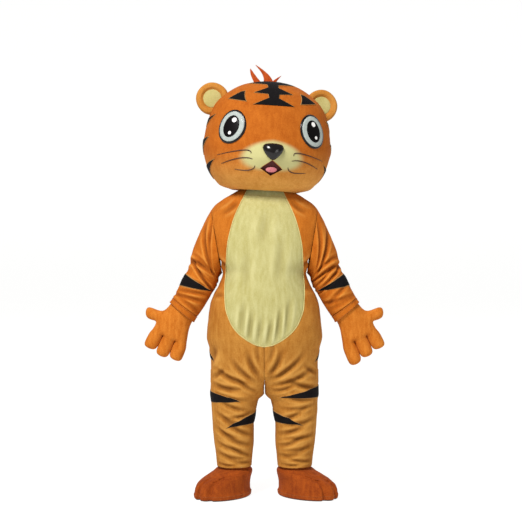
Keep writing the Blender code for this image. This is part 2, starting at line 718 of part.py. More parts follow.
def foot_ring(side, height, grow=0.0):
    """Outline of a foot cover at one height: an oval with two valleys at the toes."""
    angle = np.linspace(0, 2 * math.pi, FOOT_COLUMNS, endpoint=False)
    value = {name: float(along(FOOT, name, height)) for name in FOOT if name != "height"}
    valley = np.exp(-((np.abs((angle + math.pi) % (2 * math.pi) - math.pi) - 0.262) / 0.14) ** 2)
    ahead = (value["half_length"] + grow) * np.cos(angle)
    ahead = ahead - TOE_VALLEY * value["toes"] * valley
    aside = (value["half_width"] + grow) * np.sin(angle)
    turn = math.radians(FOOT_TURN[side]) * value["turn"]
    ahead = ahead + value["forward"]
    x = ANKLE_X + value["out"] + ahead * math.sin(turn) + aside * math.cos(turn)
    y = -ahead * math.cos(turn) + aside * math.sin(turn)
    return np.stack([side * x, y, np.full(FOOT_COLUMNS, height - SHOULDER_HEIGHT)], -1)


def foot_cover(side, word):
    """The upper, open at the ankle, and the sole under it."""
    levels = np.array([0.150, 0.130, 0.112, 0.088, 0.060, 0.034, SOLE_THICK + SEAM_GAP])
    outer = np.stack([foot_ring(side, level) for level in levels])
    normal = tube_normals(outer, outer.mean(1))
    normal[-1, :, 2] = 0
    inner = outer - unit(normal) * FOOT_WALL
    wall("foot_" + word, outer, inner, "foot_plush", closed=True)
    edge = foot_ring(side, SOLE_THICK + SEAM_GAP, SOLE_EDGE)
    bm = bmesh.new()
    loops_of_verts = []
    for level in (0.0, SOLE_THICK):
        ring = edge.copy()
        ring[:, 2] = level - SHOULDER_HEIGHT
        loops_of_verts.append([bm.verts.new(point) for point in ring])
    low, high = loops_of_verts
    bm.faces.new(low)
    bm.faces.new(high)
    for c in range(FOOT_COLUMNS):
        d = (c + 1) % FOOT_COLUMNS
        bm.faces.new((low[c], low[d], high[d], high[c]))
    bmesh.ops.recalc_face_normals(bm, faces=bm.faces)
    mesh = bpy.data.meshes.new("sole_" + word)
    bm.to_mesh(mesh)
    bm.free()
    sole = add("sole_" + word, mesh, "sole_rubber")
    mesh.set_sharp_from_angle(angle=math.radians(40))
    return sole


foot_cover(-1, "left")
foot_cover(1, "right")


# The head: a foam shell under plush, open at the neck and the mouth, turned a little.

HEAD_BASE = 1.3660
HEAD_TURN = math.radians(6)
HEAD_TILT = math.radians(3.2)
HEAD = table(
    ("height", "half_width", "front", "back"),
    (0.000, 0.150, 0.124, 0.126),
    (0.016, 0.201, 0.164, 0.160),
    (0.034, 0.221, 0.186, 0.180),
    (0.070, 0.250, 0.214, 0.205),
    (0.106, 0.268, 0.231, 0.222),
    (0.142, 0.279, 0.240, 0.233),
    (0.196, 0.287, 0.242, 0.241),
    (0.250, 0.281, 0.236, 0.241),
    (0.322, 0.266, 0.220, 0.229),
    (0.358, 0.254, 0.206, 0.217),
    (0.394, 0.232, 0.186, 0.198),
    (0.430, 0.193, 0.154, 0.166),
    (0.466, 0.137, 0.108, 0.118),
    (0.484, 0.080, 0.064, 0.070),
    (0.491, 0.000, 0.000, 0.000),
)
HEAD_ROUNDNESS = 2.1
HEAD_ROWS = np.array([0, 0.014, 0.034, 0.074, 0.118, 0.162, 0.206, 0.250, 0.294, 0.336,
                      0.376, 0.412, 0.444, 0.468, 0.484, 0.491])
HEAD_COLUMNS = 6
MUZZLE = {"height": 0.150, "across": 0.095, "tall": 0.060, "depth": 0.024}

head_pose = bpy.data.objects.new("head_pose", None)
costume.objects.link(head_pose)
HEAD_MATRIX = (Matrix.Translation((0, 0, HEAD_BASE - SHOULDER_HEIGHT))
               @ Matrix.Rotation(HEAD_TILT, 4, "Y") @ Matrix.Rotation(HEAD_TURN, 4, "Z"))
head_pose.matrix_world = HEAD_MATRIX


def head_point(turn, height):
    """Outer face of the head: turn 0 at the nose, 90 degrees at the +X side."""
    turn, height = np.broadcast_arrays(turn, height)
    power = 2 / HEAD_ROUNDNESS
    s = np.sin(turn)
    c = np.cos(turn)
    deep = np.where(c > 0, along(HEAD, "front", height), along(HEAD, "back", height))
    x = along(HEAD, "half_width", height) * np.sign(s) * np.abs(s) ** power
    y = -deep * np.sign(c) * np.abs(c) ** power
    bump = np.exp(-(x / MUZZLE["across"]) ** 2
                  - ((height - MUZZLE["height"]) / MUZZLE["tall"]) ** 2)
    y = y - MUZZLE["depth"] * bump * (c > 0)
    return np.stack([x, y, height], -1)


def head_normal(turn, height):
    """Outward direction on the head, from small steps; straight up at the crown."""
    height = np.clip(height, 0.001, 0.4905)
    over = head_point(turn + 0.02, height) - head_point(turn - 0.02, height)
    rise = head_point(turn, height + 0.0004) - head_point(turn, height - 0.0004)
    return unit(np.cross(over, rise))


def on_head(mesh_object):
    """Carry a finished piece with the head's turn and tilt."""
    mesh_object.parent = head_pose
    return mesh_object


def head_panel(name, first, last, columns):
    """One panel of the head between two turns, kept off its seams."""
    turn = np.radians(np.linspace(first, last, columns + 1))[None, :]
    height = HEAD_ROWS[:, None]
    outer = head_point(turn, height)
    normal = head_normal(turn, height)
    normal[-1] = (0, 0, 1)
    inner = outer - normal * HEAD_WALL
    for grid in (outer, inner):
        front = abs(first) <= 90 and abs(last) <= 90
        if front:
            grid[..., 1] = np.minimum(grid[..., 1], -SEAM_GAP / 2)
        else:
            grid[..., 1] = np.maximum(grid[..., 1], SEAM_GAP / 2)
            side = np.sign(first + last)
            grid[..., 0] = side * np.maximum(side * grid[..., 0], SEAM_GAP / 2)
    grid_for_panel[name] = (outer, inner)
    return on_head(wall(name, outer, inner, "orange_plush"))


grid_for_panel = {}
face = head_panel("head_face", -90, 90, 2 * HEAD_COLUMNS)
head_panel("head_back_right", 90, 180, HEAD_COLUMNS)
head_panel("head_back_left", -180, -90, HEAD_COLUMNS)


def skin_tree(which):
    """Search tree of the head's outer (0) or inner (1) facets, for laying pieces on."""
    points = []
    faces = []
    for grids in grid_for_panel.values():
        grid = grids[which]
        rows, columns = grid.shape[:2]
        start = len(points)
        points.extend(Vector(point) for point in grid.reshape(-1, 3))
        for r in range(rows - 1):
            for c in range(columns - 1):
                a = start + r * columns + c
                faces.append((a, a + 1, a + columns + 1))
                faces.append((a, a + columns + 1, a + columns))
    return BVHTree.FromPolygons(points, faces)


OUTSIDE = skin_tree(0)
INSIDE = skin_tree(1)


def head_seat(turn, height, tree=OUTSIDE):
    """Points on the head's own facets and the directions off them."""
    smooth = head_point(turn, height)
    normal = head_normal(turn, height)
    seat = smooth.copy()
    for place in np.ndindex(smooth.shape[:-1]):
        start = Vector(smooth[place] + normal[place] * 0.02)
        found = tree.ray_cast(start, -Vector(normal[place]), 0.08)[0]
        if found is not None:
            seat[place] = found
    return seat, normal


def clearance(seat, normal, turn, height, tree=OUTSIDE, way=1):
    """How far the head's facets stand proud of flat cells laid between these places."""
    proud = 0.0
    for u, v in itertools.product((0, 0.25, 0.5, 0.75, 1), repeat=2):
        mixed = []
        for values in (seat, normal, turn, height):
            fewer = values[:-1] * (1 - u) + values[1:] * u
            mixed.append(fewer[:, :-1] * (1 - v) + fewer[:, 1:] * v)
        true = head_seat(mixed[2], mixed[3], tree)[0]
        proud = max(proud, (way * np.sum((true - mixed[0]) * mixed[1], -1)).max())
    return proud


def pad(name, turn, height, corners, finish, thick, rings=3, lean=0.0, edge=None, lift=None):
    """A patch laid on the head: an outline filled with shrinking copies of itself.

    Corners are places in metres, across and up from the centre. The thickness
    may swell from the edge to the middle. Returns its lift off the head.
    """
    at = np.array([math.radians(turn)])
    level = np.array([height])
    step = 0.01
    wide = np.linalg.norm(head_point(at + step, level) - head_point(at - step, level)) / (2 * step)
    rise = head_point(at, level + 0.004) - head_point(at, level - 0.004)
    tall = np.linalg.norm(rise) / 0.008
    a, b = np.array(corners, float).T
    tilt = math.radians(lean)
    across = a * math.cos(tilt) + b * math.sin(tilt)
    up = b * math.cos(tilt) - a * math.sin(tilt)
    share = np.linspace(0.06, 1, rings + 1)[:, None]
    turns = at + across * share / wide
    levels = level + up * share / tall
    seat, normal = head_seat(turns, levels)
    if lift is None:
        loop = [np.concatenate([grid, grid[:, :1]], 1) for grid in (seat, normal, turns, levels)]
        lift = LAID_LIFT + clearance(*loop)
    edge = thick if edge is None else edge
    swell = edge + (thick - edge) * np.sqrt(np.clip(1 - share ** 2, 0, 1))
    low = seat + normal * lift
    high = low + normal * swell[..., None]
    bm = bmesh.new()
    skins = [[[bm.verts.new(point) for point in ring] for ring in grid] for grid in (high, low)]
    count = len(a)
    for layer in skins:
        bm.faces.new(layer[0])
        for inner, outer in zip(layer, layer[1:]):
            for k in range(count):
                d = (k + 1) % count
                bm.faces.new((inner[k], inner[d], outer[d], outer[k]))
    for k in range(count):
        d = (k + 1) % count
        bm.faces.new((skins[0][-1][k], skins[0][-1][d], skins[1][-1][d], skins[1][-1][k]))
    bmesh.ops.recalc_face_normals(bm, faces=bm.faces)
    mesh = bpy.data.meshes.new(name)
    bm.to_mesh(mesh)
    bm.free()
    on_head(add(name, mesh, finish))
    return lift


def oval(half_across, half_up, count):
    """Corners of an oval."""
    angle = np.linspace(0, 2 * math.pi, count, endpoint=False)
    return np.stack([half_across * np.cos(angle), half_up * np.sin(angle)], -1)


def spread(corners, each):
    """An outline with more points along each of its sides."""
    corners = np.array(corners, float)
    ahead = np.roll(corners, -1, 0)
    share = np.arange(each) / each
    return (corners[:, None] + (ahead - corners)[:, None] * share[:, None]).reshape(-1, 2)


# Eyes, each three layers: a dark rim, a grey-white disc and a black pupil.
EYE_TURN = 39
EYE_HEIGHT = 0.267
EYE_LEAN = 11
EYE_RIM = 0.003
EYE_DISC = 0.002
LAYER_GAP = 0.0012
for side, word in ((-1, "left"), (1, "right")):
    lean = -EYE_LEAN * side
    lift = pad("eye_rim_" + word, side * EYE_TURN, EYE_HEIGHT, oval(0.066, 0.076, 16),
               "gloss_black", EYE_RIM, 2, lean)
    lift += EYE_RIM + LAYER_GAP
    pad("eye_white_" + word, side * EYE_TURN, EYE_HEIGHT, oval(0.061, 0.071, 16),
        "eye_white", EYE_DISC, 2, lean, lift=lift)
    lift += EYE_DISC + LAYER_GAP
    pad("eye_pupil_" + word, side * EYE_TURN, EYE_HEIGHT, oval(0.038, 0.050, 16),
        "gloss_black", EYE_DISC, 2, lean, lift=lift)

# Nose: a rounded, glossy triangle, point down.
NOSE_HEIGHT = 0.1655
NOSE_CORNERS = ((0.053, 0.013), (0.044, 0.030), (0.0, 0.035), (-0.044, 0.030),
                (-0.053, 0.013), (-0.040, -0.011), (-0.014, -0.032), (0.0, -0.037),
                (0.014, -0.032), (0.040, -0.011))
pad("nose", 0, NOSE_HEIGHT, spread(NOSE_CORNERS, 2), "gloss_black", 0.026, 2, edge=0.004)

# Marks of black plush laid on the head.
BROW_CORNERS = ((-0.050, -0.008), (-0.004, 0.034), (0.018, 0.036), (0.044, -0.038))
CHEEK_MARKS = table(
    ("mark", "turn", "height", "length", "low_end", "high_end", "tip_rise"),
    (0, 77, 0.306, 0.095, -0.034, 0.002, 0.020),
    (1, 83, 0.200, 0.122, -0.052, 0.012, 0.026),
    (2, 77, 0.090, 0.138, -0.052, 0.006, 0.042),
)
for side, word in ((-1, "left"), (1, "right")):
    brow = [(side * -a, b) for a, b in BROW_CORNERS]
    pad("brow_mark_" + word, side * 42, 0.404, spread(brow, 2), "black_plush", LAID_ON, 2,
        8 * side)
    for i in range(len(CHEEK_MARKS["mark"])):
        mark = {key: CHEEK_MARKS[key][i] for key in CHEEK_MARKS}
        back = mark["length"] / 2
        corners = ((side * back, mark["low_end"]), (side * back, mark["high_end"]),
                   (-side * back, mark["tip_rise"]))
        pad("cheek_mark_%s_%d" % (word, i + 1), side * mark["turn"], mark["height"],
            spread(corners, 3), "black_plush", LAID_ON, 2)

# Forehead mark: one cut-out of an upright bar and three pointed cross bars.
FOREHEAD = table(
    ("height", "half_width"),
    (0.4860, 0.026),
    (0.4790, 0.070),
    (0.4700, 0.104),
    (0.4660, 0.026),
    (0.4520, 0.023),
    (0.4240, 0.088),
    (0.4190, 0.025),
    (0.4020, 0.023),
    (0.3690, 0.092),
)


def forehead_mark():
    """The cut-out, row by row down the forehead from the crown."""
    height = FOREHEAD["height"][:, None]
    x = FOREHEAD["half_width"][:, None] * np.linspace(-1, 1, 7)[None, :]
    half = along(HEAD, "half_width", height)
    turn = np.arcsin(np.clip(np.abs(x) / half, 0, 1) ** (HEAD_ROUNDNESS / 2)) * np.sign(x)
    height = height + 0 * turn
    seat, normal = head_seat(turn, height)
    low = seat + normal * (LAID_LIFT + clearance(seat, normal, turn, height))
    piece = wall("forehead_mark", low + normal * LAID_ON, low, "black_plush")
    return on_head(piece)


forehead_mark()

# Mouth: a diamond cut through the face, a dark lining behind it and a tongue.
MOUTH_HEIGHT = 0.0965
MOUTH_CORNERS = ((0.049, -0.0045), (0.0, 0.032), (-0.049, -0.0045), (0.0, -0.0345))


def mouth_cutter():
    """A diamond bar through the front of the face."""
    bm = bmesh.new()
    ends = []
    for y in (-0.32, -0.12):
        ends.append([bm.verts.new((a, y, MOUTH_HEIGHT + b)) for a, b in MOUTH_CORNERS])
    bm.faces.new(ends[0])
    bm.faces.new(ends[1])
    for k in range(4):
        d = (k + 1) % 4
        bm.faces.new((ends[0][k], ends[0][d], ends[1][d], ends[1][k]))
    bmesh.ops.recalc_face_normals(bm, faces=bm.faces)
    mesh = bpy.data.meshes.new("mouth_cutter")
    bm.to_mesh(mesh)
    bm.free()
    return on_head(add("mouth_cutter", mesh, "mouth_cloth", cutters))


opening = face.modifiers.new("mouth", "BOOLEAN")
opening.operation = "DIFFERENCE"
opening.object = mouth_cutter()


LINING_GAP = 0.0004


def mouth_lining():
    """Dark cloth glued behind the hole, on the inner facets of the face."""
    height = MOUTH_HEIGHT + np.linspace(-0.052, 0.052, 5)[:, None]
    turn = np.radians(np.linspace(-15, 15, 7))[None, :]
    height = height + 0 * turn
    turn = turn + 0 * height
    seat, normal = head_seat(turn, height, INSIDE)
    behind = LINING_GAP + clearance(seat, normal, turn, height, INSIDE, -1)
    front = seat - normal * behind
    return on_head(wall("mouth_lining", front, front - normal * LAID_ON, "mouth_cloth"))


TONGUE = {"wide": 0.0245, "deep": 0.0050, "tall": 0.0140}


def tongue():
    """A soft flat pad low in the mouth, just off the lining."""
    bm = bmesh.new()
    bmesh.ops.create_uvsphere(bm, u_segments=12, v_segments=5, radius=1)
    seat, normal = head_seat(np.array([0.0]), np.array([MOUTH_HEIGHT - 0.012]), INSIDE)
    middle = seat[0] + normal[0] * (TONGUE["deep"] + SEAM_GAP)
    size = Matrix.Diagonal((TONGUE["wide"], TONGUE["deep"], TONGUE["tall"], 1))
    facing = Vector((0, -1, 0)).rotation_difference(Vector(normal[0])).to_matrix().to_4x4()
    bmesh.ops.transform(bm, matrix=Matrix.Translation(middle) @ facing @ size, verts=bm.verts)
    mesh = bpy.data.meshes.new("tongue")
    bm.to_mesh(mesh)
    bm.free()
    return on_head(add("tongue", mesh, "tongue_cloth"))


mouth_lining()
tongue()


CUTTER_COLUMNS = 24
CUTTER_GAP = 0.0008


def head_cutter():
    """The head's closed outer form, a hair larger, to trim what is sewn on it."""
    turn = np.radians(np.linspace(-180, 180, CUTTER_COLUMNS, endpoint=False))[None, :]
    height = HEAD_ROWS[:-1, None]
    grid = head_point(turn, height) + head_normal(turn, height) * CUTTER_GAP
    bm = bmesh.new()
    rings = [[bm.verts.new(point) for point in ring] for ring in grid]
    crown = bm.verts.new((0, 0, HEAD_ROWS[-1] + CUTTER_GAP))
    bm.faces.new(rings[0])
    for lower, upper in zip(rings, rings[1:]):
        for k in range(CUTTER_COLUMNS):
            d = (k + 1) % CUTTER_COLUMNS
            bm.faces.new((lower[k], lower[d], upper[d], upper[k]))
    for k in range(CUTTER_COLUMNS):
        bm.faces.new((rings[-1][k], rings[-1][(k + 1) % CUTTER_COLUMNS], crown))
    bmesh.ops.recalc_face_normals(bm, faces=bm.faces)
    mesh = bpy.data.meshes.new("head_cutter")
    bm.to_mesh(mesh)
    bm.free()
    return on_head(add("head_cutter", mesh, "orange_plush", cutters))


HEAD_CUTTER = head_cutter()


def trim_to_head(piece):
    """Cut away what would lie inside the head."""
    cut = piece.modifiers.new("on_the_head", "BOOLEAN")
    cut.operation = "DIFFERENCE"
    cut.object = HEAD_CUTTER
    return piece


# Ears: padded dishes standing on the side seams, with a cream disc in each.
EAR_PLACE = {-1: (-0.257, 0.004, 0.400), 1: (0.236, 0.004, 0.400)}
EAR_PROFILE = table(
    ("radius", "ahead"),
    (0.0000, 0.0060),
    (0.0415, 0.0060),
    (0.0530, 0.0170),
    (0.0680, 0.0150),
    (0.0740, 0.0020),
    (0.0680, -0.0140),
    (0.0400, -0.0230),
    (0.0000, -0.0250),
)
EAR_STEPS = 16


def turned(name, profile, side, finish):
    """A turned form round the ear's own axis, trimmed to the head."""
    mesh = bpy.data.meshes.new(name)
    points = [(r, -ahead, 0.0) for r, ahead in zip(profile["radius"], profile["ahead"])]
    mesh.from_pydata(points, [(i, i + 1) for i in range(len(points) - 1)], [])
    piece = add(name, mesh, finish)
    spin = piece.modifiers.new("turn", "SCREW")
    spin.axis = "Y"
    spin.steps = EAR_STEPS
    spin.render_steps = EAR_STEPS
    spin.use_merge_vertices = True
    spin.merge_threshold = 0.0001
    spin.use_normal_calculate = True
    piece.parent = head_pose
    piece.location = EAR_PLACE[side]
    piece.rotation_euler = (math.radians(-6), 0, math.radians(6 * side))
    return trim_to_head(piece)


INNER_EAR = table(
    ("radius", "ahead"),
    (0.0000, 0.0083),
    (0.0360, 0.0080),
    (0.0395, 0.0064),
    (0.0000, 0.0064),
)
for side, word in ((-1, "left"), (1, "right")):
    turned("ear_" + word, EAR_PROFILE, side, "orange_plush")
    turned("ear_inside_" + word, INNER_EAR, side, "cream_plush")

# Tuft: three flat, curved plush spikes standing on the crown.
TUFT = table(
    ("spike", "base_x", "tip_x", "tip_height", "bow", "half_width", "half_thick", "y"),
    (0, -0.049, -0.096, 0.545, -0.008, 0.0190, 0.0060, -0.010),
    (1, -0.013, -0.073, 0.566, 0.018, 0.0240, 0.0070, 0.008),
    (2, 0.011, 0.050, 0.526, -0.006, 0.0150, 0.0055, 0.026),
)
TUFT_SIDES = 7
TUFT_FOOT = 0.470
for i in range(len(TUFT["spike"])):
    spike = {key: TUFT[key][i] for key in TUFT}
    share = np.array([0, 0.3, 0.6, 0.85, 1.0])[:, None]
    angle = np.linspace(0, 2 * math.pi, TUFT_SIDES, endpoint=False)[None, :]
    middle_x = spike["base_x"] + (spike["tip_x"] - spike["base_x"]) * share ** 1.3
    middle_x = middle_x + spike["bow"] * np.sin(math.pi * share)
    level = TUFT_FOOT + (spike["tip_height"] - TUFT_FOOT) * share
    size = np.clip(1 - share, 0.03, 1) ** 0.7
    grid = np.stack([
        middle_x + spike["half_width"] * size * np.cos(angle),
        spike["y"] + spike["half_thick"] * size * np.sin(angle),
        level + 0 * angle], -1)
    bm = bmesh.new()
    rings = [[bm.verts.new(point) for point in ring] for ring in grid]
    bm.faces.new(rings[0])
    bm.faces.new(rings[-1])
    for lower, upper in zip(rings, rings[1:]):
        for k in range(TUFT_SIDES):
            d = (k + 1) % TUFT_SIDES
            bm.faces.new((lower[k], lower[d], upper[d], upper[k]))
    bmesh.ops.recalc_face_normals(bm, faces=bm.faces)
    name = "tuft_spike_%d" % (i + 1)
    mesh = bpy.data.meshes.new(name)
    bm.to_mesh(mesh)
    bm.free()
    trim_to_head(on_head(add(name, mesh, "tuft_plush")))


# Stripes laid on the suit: tapered bands round the arms, hips and legs.

def across_cell(a, b, c, d, u, v):
    """A place in a cell of two flat triangles, u down from a and v along to b."""
    return np.where(v >= u, a + v * (b - a) + u * (c - b), a + u * (d - a) + v * (c - d))


def on_grid(grid, row, column):
    """Points on a grid's own facets at places between its rows and columns."""
    rows, columns = grid.shape[:2]
    r = np.clip(np.floor(row), 0, rows - 2).astype(int)
    c = np.floor(column).astype(int)
    u = (row - r)[..., None]
    v = (column - c)[..., None]
    c = c % columns
    d = (c + 1) % columns
    return across_cell(grid[r, c], grid[r, d], grid[r + 1, d], grid[r + 1, c], u, v)


def laid_stripe(name, grid, middle, columns, rows, half_rows):
    """A band on the cloth: a row place and half height at each column place.

    Each point is lifted off the cloth just enough for the band's flat facets
    to clear every ridge of the cloth between its points.
    """
    share = np.array([-1.0, -0.34, 0.34, 1.0])
    row = rows[:, None] + half_rows[:, None] * share
    column = columns[:, None] + 0 * share
    base = on_grid(grid, row, column)
    normal = unit(np.cross(np.gradient(base, axis=0), np.gradient(base, axis=1)))
    outward = np.sum(normal * (base - middle(base)), -1, keepdims=True)
    normal = normal * np.sign(outward)

    def cell(values, u, v):
        return across_cell(values[:-1, :-1], values[:-1, 1:], values[1:, 1:], values[1:, :-1],
                           u, v)

    proud = np.zeros((len(columns) - 1, len(share) - 1))
    for u in np.linspace(0, 1, 13):
        for v in np.linspace(0, 1, 13):
            true = on_grid(grid, cell(row, u, v), cell(column, u, v))
            above = np.sum((true - cell(base, u, v)) * cell(normal, u, v), -1)
            proud = np.maximum(proud, above)
    lift = np.full(base.shape[:2], 0.0)
    for dr in (0, 1):
        for dc in (0, 1):
            part = lift[dr:dr + proud.shape[0], dc:dc + proud.shape[1]]
            np.maximum(part, proud, out=part)
    low = base + normal * (lift + LAID_LIFT)[..., None]
    return wall(name, low + normal * LAID_ON, low, "black_plush")


def row_of(height):
    """Row place of a height on the suit's panels."""
    return float(np.interp(-height, -ROW_HEIGHTS, np.arange(len(ROW_HEIGHTS))))


STRIPES = table(
    ("kind", "side", "first", "last", "height", "half_height", "end_drop"),
    (0, -1, 2.1, 7.9, 0.451, 0.027, 0.020),
    (0, 1, 1.7, 8.1, 0.472, 0.028, 0.022),
    (1, -1, 8.8, 15.0, 0.356, 0.029, 0.043),
    (1, 1, 8.8, 15.0, 0.361, 0.028, 0.037),
    (2, -1, 3.6, 7.4, 0.642, 0.021, 0.040),
    (2, 1, 3.6, 7.4, 0.642, 0.021, 0.040),
)
STRIPE_WORDS = ("thigh", "inner_leg", "hip")


def limb_middle(points):
    """Middle line of the nearer leg, for telling the cloth's outside."""
    middle = points.copy()
    middle[..., 0] = np.sign(points[..., 0].mean()) * ANKLE_X
    middle[..., 1] = 0
    return middle


for i in range(len(STRIPES["kind"])):
    stripe = {key: STRIPES[key][i] for key in STRIPES}
    side = int(stripe["side"])
    front_grid, back_grid = ((front_left_grid, back_left_grid) if side < 0
                             else (front_right_grid, back_right_grid))
    ring = np.concatenate([front_grid, back_grid[:, 1:]], 1)
    inside = np.arange(math.ceil(stripe["first"]), math.floor(stripe["last"]) + 1)
    columns = np.unique(np.concatenate([[stripe["first"]], inside, [stripe["last"]]]))
    share = (columns - columns[0]) / (columns[-1] - columns[0]) * 2 - 1
    height = stripe["height"] - stripe["end_drop"] * share ** 2
    half = np.maximum(stripe["half_height"] * (1 - np.abs(share) ** 1.7), 0.0015)
    rows = np.array([row_of(level) for level in height])
    spread_rows = np.array([(row_of(level - h) - row_of(level + h)) / 2
                            for level, h in zip(height, half)])
    word = "left" if side < 0 else "right"
    laid_stripe("%s_stripe_%s" % (STRIPE_WORDS[int(stripe["kind"])], word), ring,
                limb_middle, columns, rows, spread_rows)

ARM_STRIPE = {"ring": 7.4, "half_rings": 0.85, "reach": 6, "end_drift": -0.9}
for side, word in ((-1, "left"), (1, "right")):
    outer = sleeve_outsides[side]
    columns = np.arange(-ARM_STRIPE["reach"], ARM_STRIPE["reach"] + 1)
    share = columns / ARM_STRIPE["reach"]
    ring = ARM_STRIPE["ring"] + ARM_STRIPE["end_drift"] * share ** 2
    half = np.maximum(ARM_STRIPE["half_rings"] * (1 - np.abs(share) ** 1.8), 0.05)
    rows = np.interp(ring, SLEEVE_RINGS, np.arange(len(SLEEVE_RINGS)))
    centres = outer.mean(1)

    def arm_middle(points, centres=centres):
        """Nearest middle point of the sleeve to each point."""
        gap = np.linalg.norm(points[..., None, :] - centres, axis=-1)
        return centres[np.argmin(gap, -1)]

    laid_stripe("arm_stripe_" + word, outer, arm_middle, columns, rows, half)
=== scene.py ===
import math

import bmesh
import bpy
import numpy as np
from mathutils import Matrix, Vector


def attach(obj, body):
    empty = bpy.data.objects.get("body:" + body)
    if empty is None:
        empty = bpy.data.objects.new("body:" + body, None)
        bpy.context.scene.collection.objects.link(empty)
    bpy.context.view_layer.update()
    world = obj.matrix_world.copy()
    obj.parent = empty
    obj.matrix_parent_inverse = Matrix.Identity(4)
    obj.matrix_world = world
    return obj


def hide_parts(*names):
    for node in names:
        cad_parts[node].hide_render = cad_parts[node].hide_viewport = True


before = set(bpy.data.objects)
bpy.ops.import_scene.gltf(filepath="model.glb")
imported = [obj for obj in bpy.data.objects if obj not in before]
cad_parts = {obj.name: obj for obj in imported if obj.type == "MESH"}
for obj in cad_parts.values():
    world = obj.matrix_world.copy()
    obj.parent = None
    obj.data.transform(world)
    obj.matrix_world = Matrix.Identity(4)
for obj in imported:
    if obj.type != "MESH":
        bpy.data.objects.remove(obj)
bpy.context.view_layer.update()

# The view: a long lens at chest height, straight on, as the costume was photographed.
# The frame is 522 pixels square and each pixel is 4.5 mm at the costume.
FRAME_PIXELS = 522
METRES_PER_PIXEL = 0.0045
CAMERA_DISTANCE = 6.5
CAMERA_RISE = 0.10
SHOULDER_HEIGHT = 1.345
FRAME_WIDTH = FRAME_PIXELS * METRES_PER_PIXEL
AIM = Vector((-0.0158, 0.0, 1.053 - SHOULDER_HEIGHT))

scene = bpy.context.scene
lens = bpy.data.cameras.new("camera")
lens.sensor_width = 36
lens.lens = lens.sensor_width * CAMERA_DISTANCE / FRAME_WIDTH
camera = bpy.data.objects.new("camera", lens)
scene.collection.objects.link(camera)
camera.location = AIM + Vector((0, -CAMERA_DISTANCE, CAMERA_RISE))
camera.rotation_euler = (AIM - camera.location).to_track_quat("-Z", "Y").to_euler()
scene.camera = camera
scene.view_settings.view_transform = "Standard"


def linear(colour):
    """An sRGB hex colour as linear values: each channel to the power 2.4 past the toe."""
    value = np.array([int(colour[i:i + 2], 16) for i in (1, 3, 5)]) / 255
    bent = np.where(value > 0.04045, ((value + 0.055) / 1.055) ** 2.4, value / 12.92)
    return (*bent.tolist(), 1.0)


def node(tree, kind, settings=None, **inputs):
    """Add a node, set its settings, and set or link its inputs by name."""
    made = tree.nodes.new(kind)
    for key, value in (settings or {}).items():
        setattr(made, key, value)
    for key, value in inputs.items():
        socket = made.inputs[int(key[1:]) if key[0] == "_" else key.replace("__", " ")]
        if isinstance(value, bpy.types.NodeSocket):
            tree.links.new(value, socket)
        else:
            socket.default_value = value
    return made


def surface(name, roughness):
    """A new material: itself, its tree, its shader, and the Object place that patterns read."""
    made = bpy.data.materials.new(name)
    made.use_nodes = True
    shader = made.node_tree.nodes["Principled BSDF"]
    shader.inputs["Roughness"].default_value = roughness
    return made, made.node_tree, shader, node(made.node_tree, "ShaderNodeTexCoord").outputs["Object"]


# The studio: a white paper sweep that glows a little, so that the floor shadow is faint,
# a key light high on the camera's left, a soft fill low on its right and a weak back light.
SWEEP_BEND = 1.5
SWEEP_REACH = 14.0
SWEEP_HALF = 16.0
sweep_turn = np.radians(np.linspace(0, 90, 16))
sweep_bend = SWEEP_REACH - SWEEP_BEND * (1 - np.sin(sweep_turn))
sweep_y = np.concatenate([[-SWEEP_REACH], sweep_bend, [SWEEP_REACH]])
sweep_z = np.concatenate([[0.0], SWEEP_BEND * (1 - np.cos(sweep_turn)), [SWEEP_REACH]])
sweep_z = sweep_z - SHOULDER_HEIGHT - 0.0005
floor_mesh = bpy.data.meshes.new("floor")
floor_mesh.from_pydata([(x, y, z) for y, z in zip(sweep_y, sweep_z) for x in (-SWEEP_HALF, SWEEP_HALF)], [],
                       [(2 * i, 2 * i + 1, 2 * i + 3, 2 * i + 2) for i in range(len(sweep_y) - 1)])
floor_mesh.shade_smooth()
floor = bpy.data.objects.new("floor", floor_mesh)
scene.collection.objects.link(floor)
pale_paper, tree, shader, place = surface("pale_paper", 0.9)
shader.inputs["Base Color"].default_value = linear("#808080")
shader.inputs["Emission Color"].default_value = linear("#fdfdfc")
shader.inputs["Emission Strength"].default_value = 0.87
floor_mesh.materials.append(pale_paper)

sky = bpy.data.worlds.new("studio")
sky.use_nodes = True
sky.node_tree.nodes["Background"].inputs["Color"].default_value = linear("#ffffff")
sky.node_tree.nodes["Background"].inputs["Strength"].default_value = 0.31
scene.world = sky
for name, place, size, power in (
        ("key_light", (-2.0, -4.0, 4.0), 1.7, 420),
        ("fill_light", (3.2, -4.2, 0.6), 1.8, 30),
        ("back_light", (0.6, 2.4, 3.2), 1.6, 40)):
    lamp = bpy.data.lights.new(name, "AREA")
    lamp.size = size
    lamp.energy = power
    light = bpy.data.objects.new(name, lamp)
    scene.collection.objects.link(light)
    light.location = place
    light.rotation_euler = (Vector((0, 0, -0.3)) - light.location).to_track_quat("-Z", "Y").to_euler()

# The suit: short orange plush, one layer, cut as two fronts and two backs from shoulder
# to ankle, sewn at the sides, the inner legs and the centre, with a cream belly set in.
# Loose legs bunch above the feet covers, and creases run out from the crotch.
FINE = 8
SEAM_GAP = 0.0003
PLUSH = 0.003


SIDES = ((-1, "left"), (1, "right"))


def table(columns, *rows):
    """Rows of numbers as one array for each named column."""
    return {name: np.array(column, float) for name, column in zip(columns, zip(*rows))}


def rows_of(rows):
    """Each row of a table in turn, by its columns' names."""
    return [dict(zip(rows, row)) for row in zip(*rows.values())]


